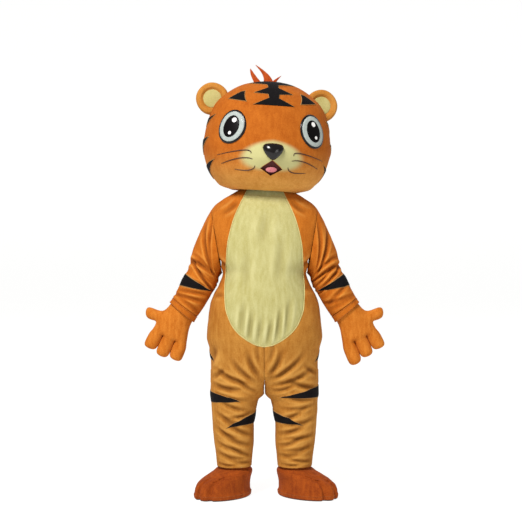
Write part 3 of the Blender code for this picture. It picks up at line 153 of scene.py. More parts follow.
def along(rows, column, where, key="height"):
    """One column on a smooth curve through its rows: cubic pieces that never overshoot."""
    order = np.argsort(rows[key])
    x = rows[key][order]
    y = rows[column][order]
    step = np.diff(x)
    slope = np.diff(y) / step
    tangent = np.zeros_like(y)
    same = slope[1:] * slope[:-1] > 0
    mean = 2 * slope[1:] * slope[:-1] / np.where(same, slope[1:] + slope[:-1], 1)
    tangent[1:-1] = np.where(same, mean, 0)
    tangent[0] = slope[0]
    tangent[-1] = slope[-1]
    where = np.clip(where, x[0], x[-1])
    i = np.clip(np.searchsorted(x, where) - 1, 0, len(step) - 1)
    s = (where - x[i]) / step[i]
    rise = (1 + 2 * s) * (1 - s) ** 2 * y[i] + s * s * (3 - 2 * s) * y[i + 1]
    return rise + step[i] * (s * (1 - s) ** 2 * tangent[i] + s * s * (s - 1) * tangent[i + 1])


def unit(vectors):
    """The same vectors at length one."""
    return vectors / np.maximum(np.linalg.norm(vectors, axis=-1, keepdims=True), 1e-12)


def circle(count):
    """Angles evenly round a circle, from nought."""
    return np.linspace(0, 2 * math.pi, count, endpoint=False)


def run_of(path):
    """The length along a path up to each of its points."""
    return np.concatenate([[0], np.cumsum(np.linalg.norm(np.diff(path, axis=0), axis=1))])


def at_lengths(path, lengths):
    """The points of a path at given lengths along it."""
    run = run_of(path)
    return np.stack([np.interp(lengths, run, path[:, k]) for k in range(3)], -1)


def smooth_step(value):
    """Ease from 0 to 1: three squared less two cubed."""
    value = np.clip(value, 0, 1)
    return value * value * (3 - 2 * value)


def unevenness(points, size, seed):
    """Soft lumps from -1 to 1: products of sines in three turned directions."""
    total = 0
    for i in range(3):
        turn = seed + 1.9 * i
        axis = np.array([math.cos(turn), math.sin(turn), math.cos(2.3 * turn)])
        other = np.array([-math.sin(turn), math.cos(turn), math.sin(1.7 * turn)])
        wave = 2 * math.pi / (size * (1 + 0.37 * i))
        total = total + np.sin(points @ axis * wave + seed) * np.sin(points @ other * wave)
    return total / 3


def piece_mesh(name, points, faces, uv=None, marks=None):
    """A mesh from arrays: points, faces, a UV place and named marks for each point."""
    mesh = bpy.data.meshes.new(name)
    mesh.from_pydata(points.tolist(), [], faces.tolist())
    if uv is not None:
        corners = np.empty(len(mesh.loops), np.int32)
        mesh.loops.foreach_get("vertex_index", corners)
        layer = mesh.uv_layers.new(name="cloth")
        layer.data.foreach_set("uv", uv[corners].astype(np.float32).ravel())
    for mark, values in (marks or {}).items():
        attribute = mesh.attributes.new(mark, "FLOAT", "POINT")
        attribute.data.foreach_set("value", values.astype(np.float32).ravel())
    return mesh


def ring_faces(points, looped=False):
    """Faces between rings of points, closed round each ring, and from last to first if looped."""
    rows, columns = points.shape[:2]
    index = np.arange(rows * columns).reshape(rows, columns)
    index = np.concatenate([index, index[:, :1]], 1)
    if looped:
        index = np.concatenate([index, index[:1]], 0)
    return np.stack([index[:-1, :-1], index[:-1, 1:], index[1:, 1:], index[1:, :-1]], -1).reshape(-1, 4)


def turn_out(mesh, open_sides=0):
    """Merge a mesh's doubles, fill ends with up to so many sides, and face it outward."""
    bm = bmesh.new()
    bm.from_mesh(mesh)
    bmesh.ops.remove_doubles(bm, verts=bm.verts, dist=1e-6)
    if open_sides:
        bmesh.ops.holes_fill(bm, edges=bm.edges, sides=open_sides)
    bmesh.ops.recalc_face_normals(bm, faces=bm.faces)
    bm.to_mesh(mesh)
    bm.free()
    return mesh


def finish_piece(name, mesh, finish, slot, *nodes):
    """Merge what falls together, face it outward, and put the piece on the frame."""
    bm = bmesh.new()
    bm.from_mesh(mesh)
    bmesh.ops.remove_doubles(bm, verts=bm.verts, dist=1e-6)
    bmesh.ops.dissolve_degenerate(bm, edges=bm.edges, dist=1e-7)
    bmesh.ops.delete(bm, geom=[edge for edge in bm.edges if edge.is_wire], context="EDGES")
    bm.to_mesh(mesh)
    bm.free()
    mesh.shade_smooth()
    mesh.materials.append(finish)
    piece = bpy.data.objects.new(name, mesh)
    scene.collection.objects.link(piece)
    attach(piece, "root")
    if nodes:
        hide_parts(*nodes)
    return piece


def ring_solid(name, rings, finish, slot, *nodes, ends=0, looped=False):
    """A closed solid through rings of points, its ends filled if they have up to so many sides."""
    mesh = piece_mesh(name, rings.reshape(-1, 3), ring_faces(rings, looped))
    return finish_piece(name, turn_out(mesh, ends), finish, slot, *nodes)


def cloth(name, outer, thickness, finish, slot, *nodes, closed=False, uv=None, marks=None, inner=None):
    """A cloth wall: a grid of outer points and the same grid set in by its thickness.

    The inner grid is the outer less the normal times the thickness, unless it is
    given. The two are joined round their rims, and a tube is closed round its columns.
    """
    if inner is None:
        inner = outer - outward(outer, closed) * thickness
    rows, columns = outer.shape[:2]
    index = np.arange(rows * columns).reshape(rows, columns)
    if closed:
        index = np.concatenate([index, index[:, :1]], 1)
    a, b, c, d = index[:-1, :-1], index[:-1, 1:], index[1:, 1:], index[1:, :-1]
    far = rows * columns
    quads = [np.stack([a, b, c, d], -1), np.stack([a, d, c, b], -1) + far]
    for rim, back in ((index[0], False), (index[-1], True)):
        near, ahead = (rim[1:], rim[:-1]) if back else (rim[:-1], rim[1:])
        quads.append(np.stack([ahead, near, near + far, ahead + far], -1))
    if not closed:
        for rim, back in ((index[:, 0], True), (index[:, -1], False)):
            near, ahead = (rim[1:], rim[:-1]) if back else (rim[:-1], rim[1:])
            quads.append(np.stack([ahead, near, near + far, ahead + far], -1))
    faces = np.concatenate([quad.reshape(-1, 4) for quad in quads])
    flat_outer = outer.reshape(-1, 3)
    crossed = np.cross(flat_outer[b] - flat_outer[a], flat_outer[d] - flat_outer[a])
    if np.sum(crossed * (outer - inner)[:-1, :crossed.shape[1]]) < 0:
        faces = faces[:, ::-1]
    points = np.concatenate([flat_outer, inner.reshape(-1, 3)])
    if uv is not None:
        uv = np.concatenate([uv.reshape(-1, 2)] * 2)
    marks = {key: np.concatenate([value.ravel()] * 2) for key, value in (marks or {}).items()}
    mesh = piece_mesh(name, points, faces, uv, marks)
    return finish_piece(name, mesh, finish, slot, *nodes)


def outward(grid, closed=False):
    """Unit normals of a grid: the cross of its two slopes, facing off its middle line."""
    if closed:
        over = np.roll(grid, -1, 1) - np.roll(grid, 1, 1)
    else:
        over = np.gradient(grid, axis=1)
    normal = unit(np.cross(over, np.gradient(grid, axis=0)))
    away = grid - grid.mean(1, keepdims=True)
    return normal * (-1 if np.sum(normal * away) < 0 else 1)


def cut_of(grid, closed=False):
    """The flat cut of a grid of cloth: longest row, longest column and area."""
    full = np.concatenate([grid, grid[:, :1]], 1) if closed else grid
    over = np.diff(full, axis=1)
    down = np.diff(full, axis=0)
    width = np.linalg.norm(over, axis=-1).sum(1).max()
    length = np.linalg.norm(down, axis=-1).sum(0).max()
    cells = np.cross(over[:-1], down[:, :-1]), np.cross(over[1:], down[:, 1:])
    area = sum(np.linalg.norm(cell, axis=-1).sum() / 2 for cell in cells)
    return (round(float(width), 3), round(float(length), 3)), float(min(area, width * length))


def declare(grid, closed=False):
    """Work out the flat cut and area that a piece's grid lays out to; nothing is kept or stated."""
    flat, area = cut_of(grid, closed)
    area = min(max(area, 0.301 * flat[0] * flat[1]), flat[0] * flat[1])


BODY = table(
    ("height", "half_width", "front", "back", "roundness"),
    (1.385, 0.100, 0.085, 0.085, 2.1),
    (1.370, 0.124, 0.094, 0.095, 2.1),
    (1.3455, 0.166, 0.106, 0.112, 2.1),
    (1.3275, 0.194, 0.118, 0.128, 2.1),
    (1.3095, 0.219, 0.130, 0.140, 2.1),
    (1.285, 0.240, 0.142, 0.150, 2.1),
    (1.250, 0.262, 0.152, 0.158, 2.1),
    (1.200, 0.272, 0.163, 0.162, 2.1),
    (1.150, 0.268, 0.171, 0.160, 2.1),
    (1.100, 0.252, 0.179, 0.156, 2.1),
    (1.050, 0.224, 0.187, 0.153, 2.1),
    (1.000, 0.190, 0.194, 0.152, 2.1),
    (0.950, 0.206, 0.202, 0.155, 2.15),
    (0.900, 0.232, 0.209, 0.160, 2.2),
    (0.860, 0.246, 0.213, 0.165, 2.2),
    (0.790, 0.255, 0.214, 0.171, 2.25),
    (0.715, 0.262, 0.206, 0.175, 2.25),
    (0.660, 0.250, 0.194, 0.174, 2.25),
    (0.600, 0.243, 0.178, 0.168, 2.3),
    (0.530, 0.243, 0.158, 0.156, 2.3),
    (0.4635, 0.245, 0.138, 0.138, 2.2),
)
LEG = table(
    ("height", "inner", "outer", "front", "back"),
    (0.560, 0.0002, 0.243, 0.160, 0.160),
    (0.455, 0.0120, 0.245, 0.136, 0.136),
    (0.4275, 0.0250, 0.242, 0.130, 0.130),
    (0.3915, 0.0340, 0.241, 0.124, 0.126),
    (0.3555, 0.0405, 0.238, 0.120, 0.124),
    (0.3195, 0.0460, 0.236, 0.116, 0.121),
    (0.2475, 0.0460, 0.230, 0.112, 0.116),
    (0.1755, 0.0530, 0.220, 0.108, 0.110),
    (0.1350, 0.0560, 0.216, 0.106, 0.106),
)
BELLY = table(
    ("height", "half_width"),
    (1.385, 0.068),
    (1.359, 0.083),
    (1.2195, 0.143),
    (1.107, 0.1665),
    (1.010, 0.172),
    (0.936, 0.177),
    (0.855, 0.173),
    (0.783, 0.149),
    (0.745, 0.122),
    (0.720, 0.093),
    (0.700, 0.062),
    (0.687, 0.034),
    (0.6795, 0.0),
)
ARMHOLE_TOP = (0.2400, 1.285)
ARMHOLE_FOOT = (0.1900, 1.000)
CROTCH_TOP = 0.545
CROTCH_FOOT = 0.455
BELLY_FOOT = 0.6795
LEG_HEM = 0.135
LEGS_MEET = 0.50
MEETING_REACH = 0.035
CREASE_BOW = 0.35

# Creases as soft troughs between low shoulders: those of the photograph on the front
# (face -1), and like ones behind. Side -1 is on the camera's left.
CREASES = table(
    ("side", "face", "x", "height", "slope", "length", "width", "depth"),
    (-1, -1, 0.052, 0.585, 62, 0.20, 0.011, 0.0110),
    (-1, -1, 0.095, 0.560, 42, 0.20, 0.010, 0.0100),
    (-1, -1, 0.150, 0.535, 24, 0.22, 0.010, 0.0110),
    (-1, -1, 0.175, 0.490, 10, 0.18, 0.010, 0.0110),
    (-1, -1, 0.085, 0.500, 34, 0.14, 0.008, 0.0080),
    (-1, -1, 0.240, 0.620, -62, 0.14, 0.015, 0.0150),
    (-1, -1, 0.210, 0.550, -34, 0.11, 0.009, 0.0090),
    (-1, -1, 0.150, 0.445, 14, 0.18, 0.009, 0.0080),
    (-1, -1, 0.140, 0.405, 20, 0.20, 0.008, 0.0075),
    (-1, -1, 0.105, 0.365, -14, 0.16, 0.008, 0.0080),
    (-1, -1, 0.155, 0.345, 24, 0.20, 0.009, 0.0095),
    (-1, -1, 0.120, 0.305, 30, 0.20, 0.009, 0.0100),
    (-1, -1, 0.170, 0.285, 26, 0.16, 0.008, 0.0085),
    (-1, -1, 0.130, 0.255, 24, 0.20, 0.009, 0.0100),
    (-1, -1, 0.165, 0.225, 20, 0.16, 0.008, 0.0085),
    (-1, -1, 0.110, 0.205, 26, 0.16, 0.008, 0.0090),
    (-1, -1, 0.150, 0.180, 12, 0.18, 0.008, 0.0090),
    (-1, -1, 0.105, 0.158, 6, 0.15, 0.007, 0.0080),
    (-1, -1, 0.170, 0.145, 4, 0.13, 0.006, 0.0070),
    (-1, -1, 0.030, 0.640, 78, 0.14, 0.008, 0.0070),
    (-1, -1, 0.215, 0.905, 8, 0.10, 0.010, 0.0065),
    (-1, -1, 0.190, 1.040, 40, 0.10, 0.010, 0.0078),
    (-1, -1, 0.150, 1.290, -38, 0.13, 0.010, 0.0065),
    (1, -1, 0.048, 0.590, 60, 0.20, 0.011, 0.0110),
    (1, -1, 0.100, 0.575, 36, 0.26, 0.010, 0.0120),
    (1, -1, 0.130, 0.530, 22, 0.22, 0.010, 0.0110),
    (1, -1, 0.175, 0.500, -14, 0.18, 0.010, 0.0110),
    (1, -1, 0.095, 0.492, 20, 0.16, 0.008, 0.0080),
    (1, -1, 0.215, 0.565, -30, 0.12, 0.009, 0.0090),
    (1, -1, 0.150, 0.440, -6, 0.18, 0.008, 0.0075),
    (1, -1, 0.150, 0.400, 8, 0.20, 0.008, 0.0075),
    (1, -1, 0.120, 0.365, 24, 0.18, 0.009, 0.0085),
    (1, -1, 0.160, 0.335, 14, 0.18, 0.009, 0.0090),
    (1, -1, 0.125, 0.300, 20, 0.20, 0.009, 0.0095),
    (1, -1, 0.160, 0.268, 10, 0.18, 0.009, 0.0095),
    (1, -1, 0.115, 0.245, 22, 0.16, 0.008, 0.0090),
    (1, -1, 0.155, 0.215, 14, 0.18, 0.009, 0.0095),
    (1, -1, 0.115, 0.190, 8, 0.16, 0.008, 0.0090),
    (1, -1, 0.160, 0.165, -6, 0.16, 0.007, 0.0085),
    (1, -1, 0.120, 0.146, 2, 0.14, 0.006, 0.0070),
    (1, -1, 0.030, 0.645, 76, 0.14, 0.008, 0.0070),
    (1, -1, 0.215, 0.930, -10, 0.10, 0.010, 0.0065),
    (1, -1, 0.190, 1.045, 36, 0.10, 0.010, 0.0078),
    (1, -1, 0.150, 1.290, -34, 0.13, 0.010, 0.0065),
    (-1, 1, 0.110, 0.580, -28, 0.22, 0.021, 0.0156),
    (-1, 1, 0.120, 0.470, 14, 0.22, 0.016, 0.0156),
    (-1, 1, 0.140, 0.370, -12, 0.22, 0.013, 0.0130),
    (-1, 1, 0.130, 0.290, 16, 0.20, 0.013, 0.0143),
    (-1, 1, 0.140, 0.200, -14, 0.20, 0.012, 0.0156),
    (-1, 1, 0.120, 0.950, 40, 0.24, 0.021, 0.0130),
    (-1, 1, 0.090, 0.245, -22, 0.13, 0.007, 0.0078),
    (-1, 1, 0.150, 0.420, 24, 0.14, 0.008, 0.0078),
    (-1, 1, 0.070, 0.640, -40, 0.16, 0.010, 0.0078),
    (-1, 1, 0.140, 1.100, 52, 0.16, 0.011, 0.0078),
    (-1, 1, 0.060, 0.860, 12, 0.12, 0.010, 0.0078),
    (1, 1, 0.100, 0.570, -24, 0.22, 0.021, 0.0156),
    (1, 1, 0.130, 0.465, 10, 0.22, 0.016, 0.0156),
    (1, 1, 0.130, 0.380, -14, 0.22, 0.013, 0.0130),
    (1, 1, 0.140, 0.285, 10, 0.20, 0.013, 0.0143),
    (1, 1, 0.130, 0.205, -16, 0.20, 0.012, 0.0156),
    (1, 1, 0.110, 0.990, 36, 0.24, 0.021, 0.0117),
    (1, 1, 0.150, 0.235, 24, 0.13, 0.007, 0.0078),
    (1, 1, 0.090, 0.330, -20, 0.12, 0.007, 0.0065),
    (1, 1, 0.080, 0.660, -34, 0.16, 0.010, 0.0078),
    (1, 1, 0.150, 1.120, 48, 0.16, 0.011, 0.0078),
    (1, 1, 0.070, 0.880, -8, 0.12, 0.010, 0.0065),
)
BAND_HEIGHTS = np.concatenate([
    [1.385, 1.370, 1.3455, 1.3095],
    np.linspace(ARMHOLE_TOP[1], ARMHOLE_FOOT[1], 8),
    np.linspace(0.955, 0.783, 4),
    [0.745, 0.720, 0.700, 0.687, 0.6795],
    np.linspace(0.640, CROTCH_TOP, 3),
    np.linspace(0.515, CROTCH_FOOT, 3),
    np.linspace(0.415, LEG_HEM, 8),
])
BANDS = len(BAND_HEIGHTS) - 1
ROW_HEIGHTS = np.interp(np.linspace(0, BANDS, BANDS * FINE + 1), np.arange(BANDS + 1), BAND_HEIGHTS)
FRONT_COLUMNS = 5 * FINE
BACK_COLUMNS = 6 * FINE
ARMHOLE_ROWS = slice(4 * FINE, 11 * FINE + 1)


def split_share(height):
    """How far the section has parted into legs: one less the root of the rise above the fork."""
    rise = np.clip((height - CROTCH_FOOT) / (CROTCH_TOP - CROTCH_FOOT), 0, 1)
    return 1 - np.sqrt(rise)


def section_limits(height):
    """Inner and outer limit of half the body: the body's width blended with the leg's."""
    in_leg = height < CROTCH_FOOT
    share = split_share(height)
    outer = (1 - share) * along(BODY, "half_width", height) + share * along(LEG, "outer", height)
    inner = np.where(in_leg, along(LEG, "inner", height), 0.0)
    fade = np.clip((CROTCH_FOOT - height) / 0.02, 0, 1)
    return inner * fade, np.where(in_leg, along(LEG, "outer", height), outer)


def depth_at(face, x, height):
    """Depth off the side seam: superellipses of the body and of the leg, blended."""
    column = "front" if face < 0 else "back"
    inner, outer = section_limits(height)
    power = along(BODY, "roundness", height)
    share = split_share(height)
    over = np.clip(x / outer, 0, 1)
    body = along(BODY, column, height) * (1 - over ** power) ** (1 / power)
    from_middle = np.clip(np.abs(2 * x - inner - outer) / (outer - inner), 0, 1)
    leg = along(LEG, column, height) * (1 - from_middle ** 2.2) ** (1 / 2.2)
    return (1 - share) * body + share * leg


def skin_point(face, x, height):
    """A point of the cloth on the +X half: across, depth and height."""
    x, height = np.broadcast_arrays(x, height)
    return np.stack([x, face * depth_at(face, x, height), height], -1)


def skin_normal(face, x, height):
    """Outward direction there: the cross of small steps across and up."""
    inner, outer = section_limits(height)
    share = np.clip((x - inner) / (outer - inner), 0.006, 0.994)
    step = 0.003

    def at(across, level):
        low, high = section_limits(level)
        return skin_point(face, low + (high - low) * across, level)

    over = at(share + step, height) - at(share - step, height)
    rise = at(share, height + step) - at(share, height - step)
    return unit(np.cross(over, rise)) * -face


def whole_skin(face, x, height):
    """Points and outward directions on both halves, by the sign of x."""
    point = skin_point(face, np.abs(x), height)
    normal = skin_normal(face, np.abs(x), height)
    point[..., 0] = x
    normal[..., 0] *= np.sign(x)
    return point, normal


def fold_profile(across):
    """A crease's section: a bell, less a lower bell on each side where the cloth stands up."""
    return np.exp(-across ** 2) - 0.34 * np.exp(-((np.abs(across) - 1.95) / 0.8) ** 2)


def crease_depth(side, face, x, height):
    """Sum of the creases' sections, fading along each and at the seams."""
    inner, outer = section_limits(height)
    share = (x - inner) / (outer - inner)
    total = np.zeros(np.broadcast(x, height).shape)
    mine = (CREASES["side"] == side) & (CREASES["face"] == face)
    for crease in rows_of({name: column[mine] for name, column in CREASES.items()}):
        turn = math.radians(crease["slope"])
        dx = x - crease["x"]
        dh = height - crease["height"]
        lengthwise = dx * math.cos(turn) + dh * math.sin(turn)
        across = dh * math.cos(turn) - dx * math.sin(turn) - CREASE_BOW * lengthwise ** 2 / crease["length"]
        fade = np.clip(1 - (2 * lengthwise / crease["length"]) ** 2, 0, 1) ** 2
        total = total + crease["depth"] * fold_profile(across / crease["width"]) * fade
    return total * smooth_step(np.minimum(share, 1 - share) / 0.14)


def seam_dip(from_edge):
    """How far cloth turns in where it is sewn: a bell 5 mm wide along its edge."""
    return 0.0022 * np.exp(-(from_edge / 0.005) ** 2)


def fold_shade(sunk):
    """How deep in a crease the cloth lies: 1 at 9 mm down, and below nought on its shoulders; the mask for
    painted shade in a crease and a painted highlight on its shoulders.
    """
    return np.clip(sunk / 0.009, -0.4, 1)


def panel_grid(side, face, x, height):
    """A panel's points, normals and fold marks for painted crease shade: the skin, sunk by creases, lumps
    and seams.
    """
    point = skin_point(face, x, height)
    normal = skin_normal(face, x, height)
    from_edge = np.minimum(np.abs(x - x[:, :1]), np.abs(x - x[:, -1:]))
    fold = crease_depth(side, face, x, height)
    sunk = fold + seam_dip(from_edge) + 0.0012 * unevenness(point + side, 0.085, 3.1 * face)
    closed = smooth_step((height - LEGS_MEET) / 0.01) * (height < CROTCH_TOP + 0.02)
    sunk = sunk * (1 - closed * (1 - smooth_step((x - x[:, :1]) / MEETING_REACH)))
    grid = point - normal * sunk[..., None]
    grid[..., 0] = np.maximum(grid[..., 0], SEAM_GAP / 2) * side
    grid[..., 1] = np.maximum(grid[..., 1] * face, SEAM_GAP / 2) * face
    grid[..., 2] -= SHOULDER_HEIGHT
    normal[..., 0] *= side
    return grid, normal, fold_shade(fold)


def armhole_x(height):
    """The armhole seam's distance from the centre: a straight line between its ends."""
    top_x, top = ARMHOLE_TOP
    foot_x, foot = ARMHOLE_FOOT
    seam = foot_x + (top_x - foot_x) * (height - foot) / (top - foot)
    outer = section_limits(height)[1]
    inside = (height < top) & (height > foot)
    return np.where(inside, np.minimum(seam, outer), outer)


def across_rows(start, end, columns, height):
    """Places across a panel: closer together where the cloth turns edge on."""
    t = np.linspace(0, 1, columns + 1)[None, :]
    turned = np.sin(t * math.pi / 2)
    both = (1 - np.cos(t * math.pi)) / 2
    share = split_share(height)[:, None]
    in_arm = ((height < ARMHOLE_TOP[1]) & (height > ARMHOLE_FOOT[1]))[:, None]
    plain = np.where(in_arm, 0.7 * turned + 0.3 * t, turned)
    return start[:, None] + (end - start)[:, None] * ((1 - share) * plain + share * both)


def belly_edge(height, gap=0.0):
    """Half width of the belly, less a gap taken square to its sloping edge."""
    wide = along(BELLY, "half_width", height)
    ahead = along(BELLY, "half_width", height + 0.002)
    behind = along(BELLY, "half_width", height - 0.002)
    return wide - gap * np.sqrt(1 + np.clip((ahead - behind) / 0.004, -4, 4) ** 2)


# Short-pile polyester plush: a knit backing with a 3 mm cut pile that lies downwards.
# It scatters light softly, with a pale sheen at its edges and faint brushed streaks.
PILE_CLUMP = 0.0045
BRUSH_STREAK = 0.014
HAND_PATCH = 0.075


def plush(name, light, dark, low_light=None, low_dark=None, streak=0.5, pale_mark=None, edge=None,
          low_from=-0.22, low_to=-0.64, deep=None, sheen=0.12):
    """Plush between two colours, mixed by streaks, patches and pile.

    The low pair, if given, takes over between two heights. A pale mark mixes another
    colour in by an attribute, an edge colours the rim of a laid-on stripe, and deep is
    a pair of colours laid by the fold mark: painted shade down in a crease, and a painted highlight on its
    shoulders.
    """
    made, tree, shader, place = surface(name, 0.92)
    drawn = node(tree, "ShaderNodeMapping", Vector=place, Scale=(1, 1, 0.22)).outputs["Vector"]
    streaks = node(tree, "ShaderNodeTexNoise", Vector=drawn, Scale=1 / BRUSH_STREAK, Detail=3.0)
    patches = node(tree, "ShaderNodeTexNoise", Vector=place, Scale=1 / HAND_PATCH, Detail=3.0,
                   Distortion=0.6)
    pile = node(tree, "ShaderNodeTexNoise", Vector=place, Scale=1 / PILE_CLUMP, Detail=2.0)
    brushed = node(tree, "ShaderNodeMix", {"data_type": "FLOAT"}, Factor=streak,
                   A=patches.outputs["Fac"], B=streaks.outputs["Fac"]).outputs["Result"]
    mixed = node(tree, "ShaderNodeMix", {"data_type": "FLOAT"}, Factor=0.35,
                 A=brushed, B=pile.outputs["Fac"]).outputs["Result"]
    share = node(tree, "ShaderNodeMapRange", Value=mixed, **{"From__Min": 0.36, "From__Max": 0.62})
    colour, low_colour = (
        node(tree, "ShaderNodeMix", {"data_type": "RGBA"}, _0=share.outputs["Result"],
             _6=linear(first), _7=linear(second)).outputs[2]
        for first, second in ((dark, light), (low_dark or dark, low_light or light)))
    layers = []
    if low_light:
        height = node(tree, "ShaderNodeSeparateXYZ", Vector=place).outputs["Z"]
        lower = node(tree, "ShaderNodeMapRange", {"interpolation_type": "SMOOTHSTEP"}, Value=height,
                     **{"From__Min": low_from, "From__Max": low_to}).outputs["Result"]
        layers.append((lower, low_colour))
    if pale_mark:
        mark, tint = pale_mark
        shade = node(tree, "ShaderNodeAttribute", {"attribute_name": mark}).outputs["Fac"]
        layers.append((shade, linear(tint)))
    # Painted shade and painted highlight: the first deep colour darkens the plush down in a crease, and the
    # second lightens the crease's shoulders, both by the fold mark.
    if deep:
        fold = node(tree, "ShaderNodeAttribute", {"attribute_name": "fold"}).outputs["Fac"]
        down = node(tree, "ShaderNodeMapRange", Value=fold, **{"To__Max": 0.72}).outputs["Result"]
        crease_shoulder_highlight = node(tree, "ShaderNodeMapRange", Value=fold,
                     **{"From__Min": 0.0, "From__Max": -0.4, "To__Max": 0.55}).outputs["Result"]
        layers += [(down, linear(deep[0])), (crease_shoulder_highlight, linear(deep[1]))]
    if edge:
        rim = node(tree, "ShaderNodeAttribute", {"attribute_name": "rim"}).outputs["Fac"]
        layers.append((rim, linear(edge)))
    for factor, tint in layers:
        colour = node(tree, "ShaderNodeMix", {"data_type": "RGBA"}, _0=factor, _6=colour,
                      _7=tint).outputs[2]
    relief = node(tree, "ShaderNodeMix", {"data_type": "FLOAT"}, Factor=0.6,
                  A=streaks.outputs["Fac"], B=pile.outputs["Fac"]).outputs["Result"]
    bump = node(tree, "ShaderNodeBump", Height=relief, Strength=0.55, Distance=0.0022)
    tree.links.new(colour, shader.inputs["Base Color"])
    tree.links.new(bump.outputs["Normal"], shader.inputs["Normal"])
    shader.inputs["Specular IOR Level"].default_value = 0.15
    shader.inputs["Sheen Weight"].default_value = sheen
    shader.inputs["Sheen Roughness"].default_value = 0.45
    shader.inputs["Sheen Tint"].default_value = linear(light)
    return made


# The deep pairs are painted shade in the creases and a painted highlight on their shoulders.
suit_plush = plush("orange_cut_pile_plush", "#bd6d20", "#a4560f", "#bc8238", "#a0631f",
                   deep=("#5e3108", "#d39a4c"))
cream_plush = plush("cream_cut_pile_plush", "#b9b27a", "#a89f62", streak=0.8,
                    deep=("#978d58", "#d3cc96"))
black_plush = plush("black_cut_pile_plush", "#120e0f", "#080607", edge="#b98a50", sheen=0.03)

fronts = {}
backs = {}
ZIP_HALF = 0.005
ZIP_FOOT = 0.740
for side, word in SIDES:
    inner = section_limits(ROW_HEIGHTS)[0]
    below = ROW_HEIGHTS < BELLY_FOOT
    start = np.where(below, inner, np.maximum(belly_edge(ROW_HEIGHTS), 0))
    x = across_rows(start, armhole_x(ROW_HEIGHTS), FRONT_COLUMNS, ROW_HEIGHTS)
    grid, normal, fold = panel_grid(side, -1, x, ROW_HEIGHTS[:, None])
    fronts[side] = grid
    front = cloth("front_panel_" + word, grid, PLUSH, suit_plush, "orange_plush", "front_" + word,
                  inner=grid - normal * PLUSH, marks={"fold": fold})
    declare(grid)
    start = np.where(ROW_HEIGHTS > ZIP_FOOT, ZIP_HALF + SEAM_GAP, inner)
    x = across_rows(start, armhole_x(ROW_HEIGHTS), BACK_COLUMNS, ROW_HEIGHTS)[:, ::-1]
    grid, normal, fold = panel_grid(side, 1, x, ROW_HEIGHTS[:, None])
    backs[side] = grid
    back = cloth("back_panel_" + word, grid, PLUSH, suit_plush, "orange_plush", "back_" + word,
                 inner=grid - normal * PLUSH, marks={"fold": fold})
    declare(grid)

# The belly: one cream plush panel set into the fronts, slightly pleated over the lower
# stomach, with a narrow pale cord of the same cloth sewn round its edge.
PLEATS = table(
    ("x", "height", "length", "width", "depth"),
    (-0.100, 0.800, 0.20, 0.011, 0.0090),
    (-0.062, 0.765, 0.18, 0.009, 0.0105),
    (-0.020, 0.750, 0.16, 0.009, 0.0075),
    (0.024, 0.745, 0.15, 0.009, 0.0090),
    (0.064, 0.775, 0.19, 0.010, 0.0105),
    (0.104, 0.815, 0.20, 0.011, 0.0075),
    (-0.085, 1.010, 0.24, 0.017, 0.0060),
    (0.070, 1.060, 0.26, 0.018, 0.0060),
    (0.000, 1.200, 0.20, 0.022, 0.0060),
)
PLEAT_LEAN = 0.01


def belly_place(x, height, off=0.0):
    """A point on the belly: the body's skin less its upright pleats, plus an offset."""
    point, normal = whole_skin(-1, x, height)
    sunk = 0.001 * unevenness(point, 0.07, 2.0)
    fold = np.zeros_like(sunk)
    for pleat in rows_of(PLEATS):
        rise = (height - pleat["height"]) / (pleat["length"] / 2)
        bell = fold_profile((x - pleat["x"] - PLEAT_LEAN * rise) / pleat["width"])
        fold = fold + pleat["depth"] * bell * np.clip(1 - rise ** 2, 0, 1) ** 2
    edge = np.clip(belly_edge(height) - np.abs(x), 0, None)
    fold = fold * smooth_step(edge / 0.03)
    sunk = (sunk + fold) * smooth_step(edge / 0.02) + seam_dip(edge)
    point = point + normal * (off - sunk)[..., None]
    point[..., 2] -= SHOULDER_HEIGHT
    return point, normal, fold_shade(fold)


belly_rows = np.append(ROW_HEIGHTS[ROW_HEIGHTS > BELLY_FOOT + 0.001], BELLY_FOOT + 0.0012)
belly_x = belly_edge(belly_rows, SEAM_GAP * 1.5)[:, None] * np.linspace(-1, 1, 10 * FINE + 1)
belly_grid, belly_normal, belly_fold = belly_place(belly_x, belly_rows[:, None])
belly = cloth("belly", belly_grid, PLUSH, cream_plush, "cream_plush", "belly_panel",
              inner=belly_grid - belly_normal * PLUSH, marks={"fold": belly_fold})
declare(belly_grid)

piping_plush = plush("cream_piping_plush", "#cdc184", "#b9a768", streak=0.2)
PIPING_RADIUS = 0.0022


def tube(name, path, radius, finish, slot, *nodes, sides=8, closed=False):
    """A round cord: circles square to a path, from its tangent and a steady side vector."""
    ahead = np.roll(path, -1, 0) - np.roll(path, 1, 0) if closed else np.gradient(path, axis=0)
    ahead = unit(ahead)
    aside = unit(np.cross(ahead, np.array([0.13, 0.97, 0.21])))
    over = np.cross(aside, ahead)
    angle = circle(sides)[None, :, None]
    width = np.broadcast_to(np.asarray(radius, float), (len(path),))[:, None, None]
    rings = path[:, None] + width * (np.cos(angle) * aside[:, None] + np.sin(angle) * over[:, None])
    return ring_solid(name, rings, finish, slot, *nodes, ends=sides, looped=closed)


piping_rows = np.concatenate([ROW_HEIGHTS[ROW_HEIGHTS > BELLY_FOOT + 0.004], [BELLY_FOOT + 0.001]])
piping_half = belly_edge(piping_rows)
piping_x = np.concatenate([-piping_half, piping_half[-2::-1]])
piping_rows = np.concatenate([piping_rows, piping_rows[-2::-1]])
piping_path = belly_place(piping_x, piping_rows, PIPING_RADIUS * 0.4)[0]
tube("belly_piping", piping_path, PIPING_RADIUS, piping_plush, "cream_plush")

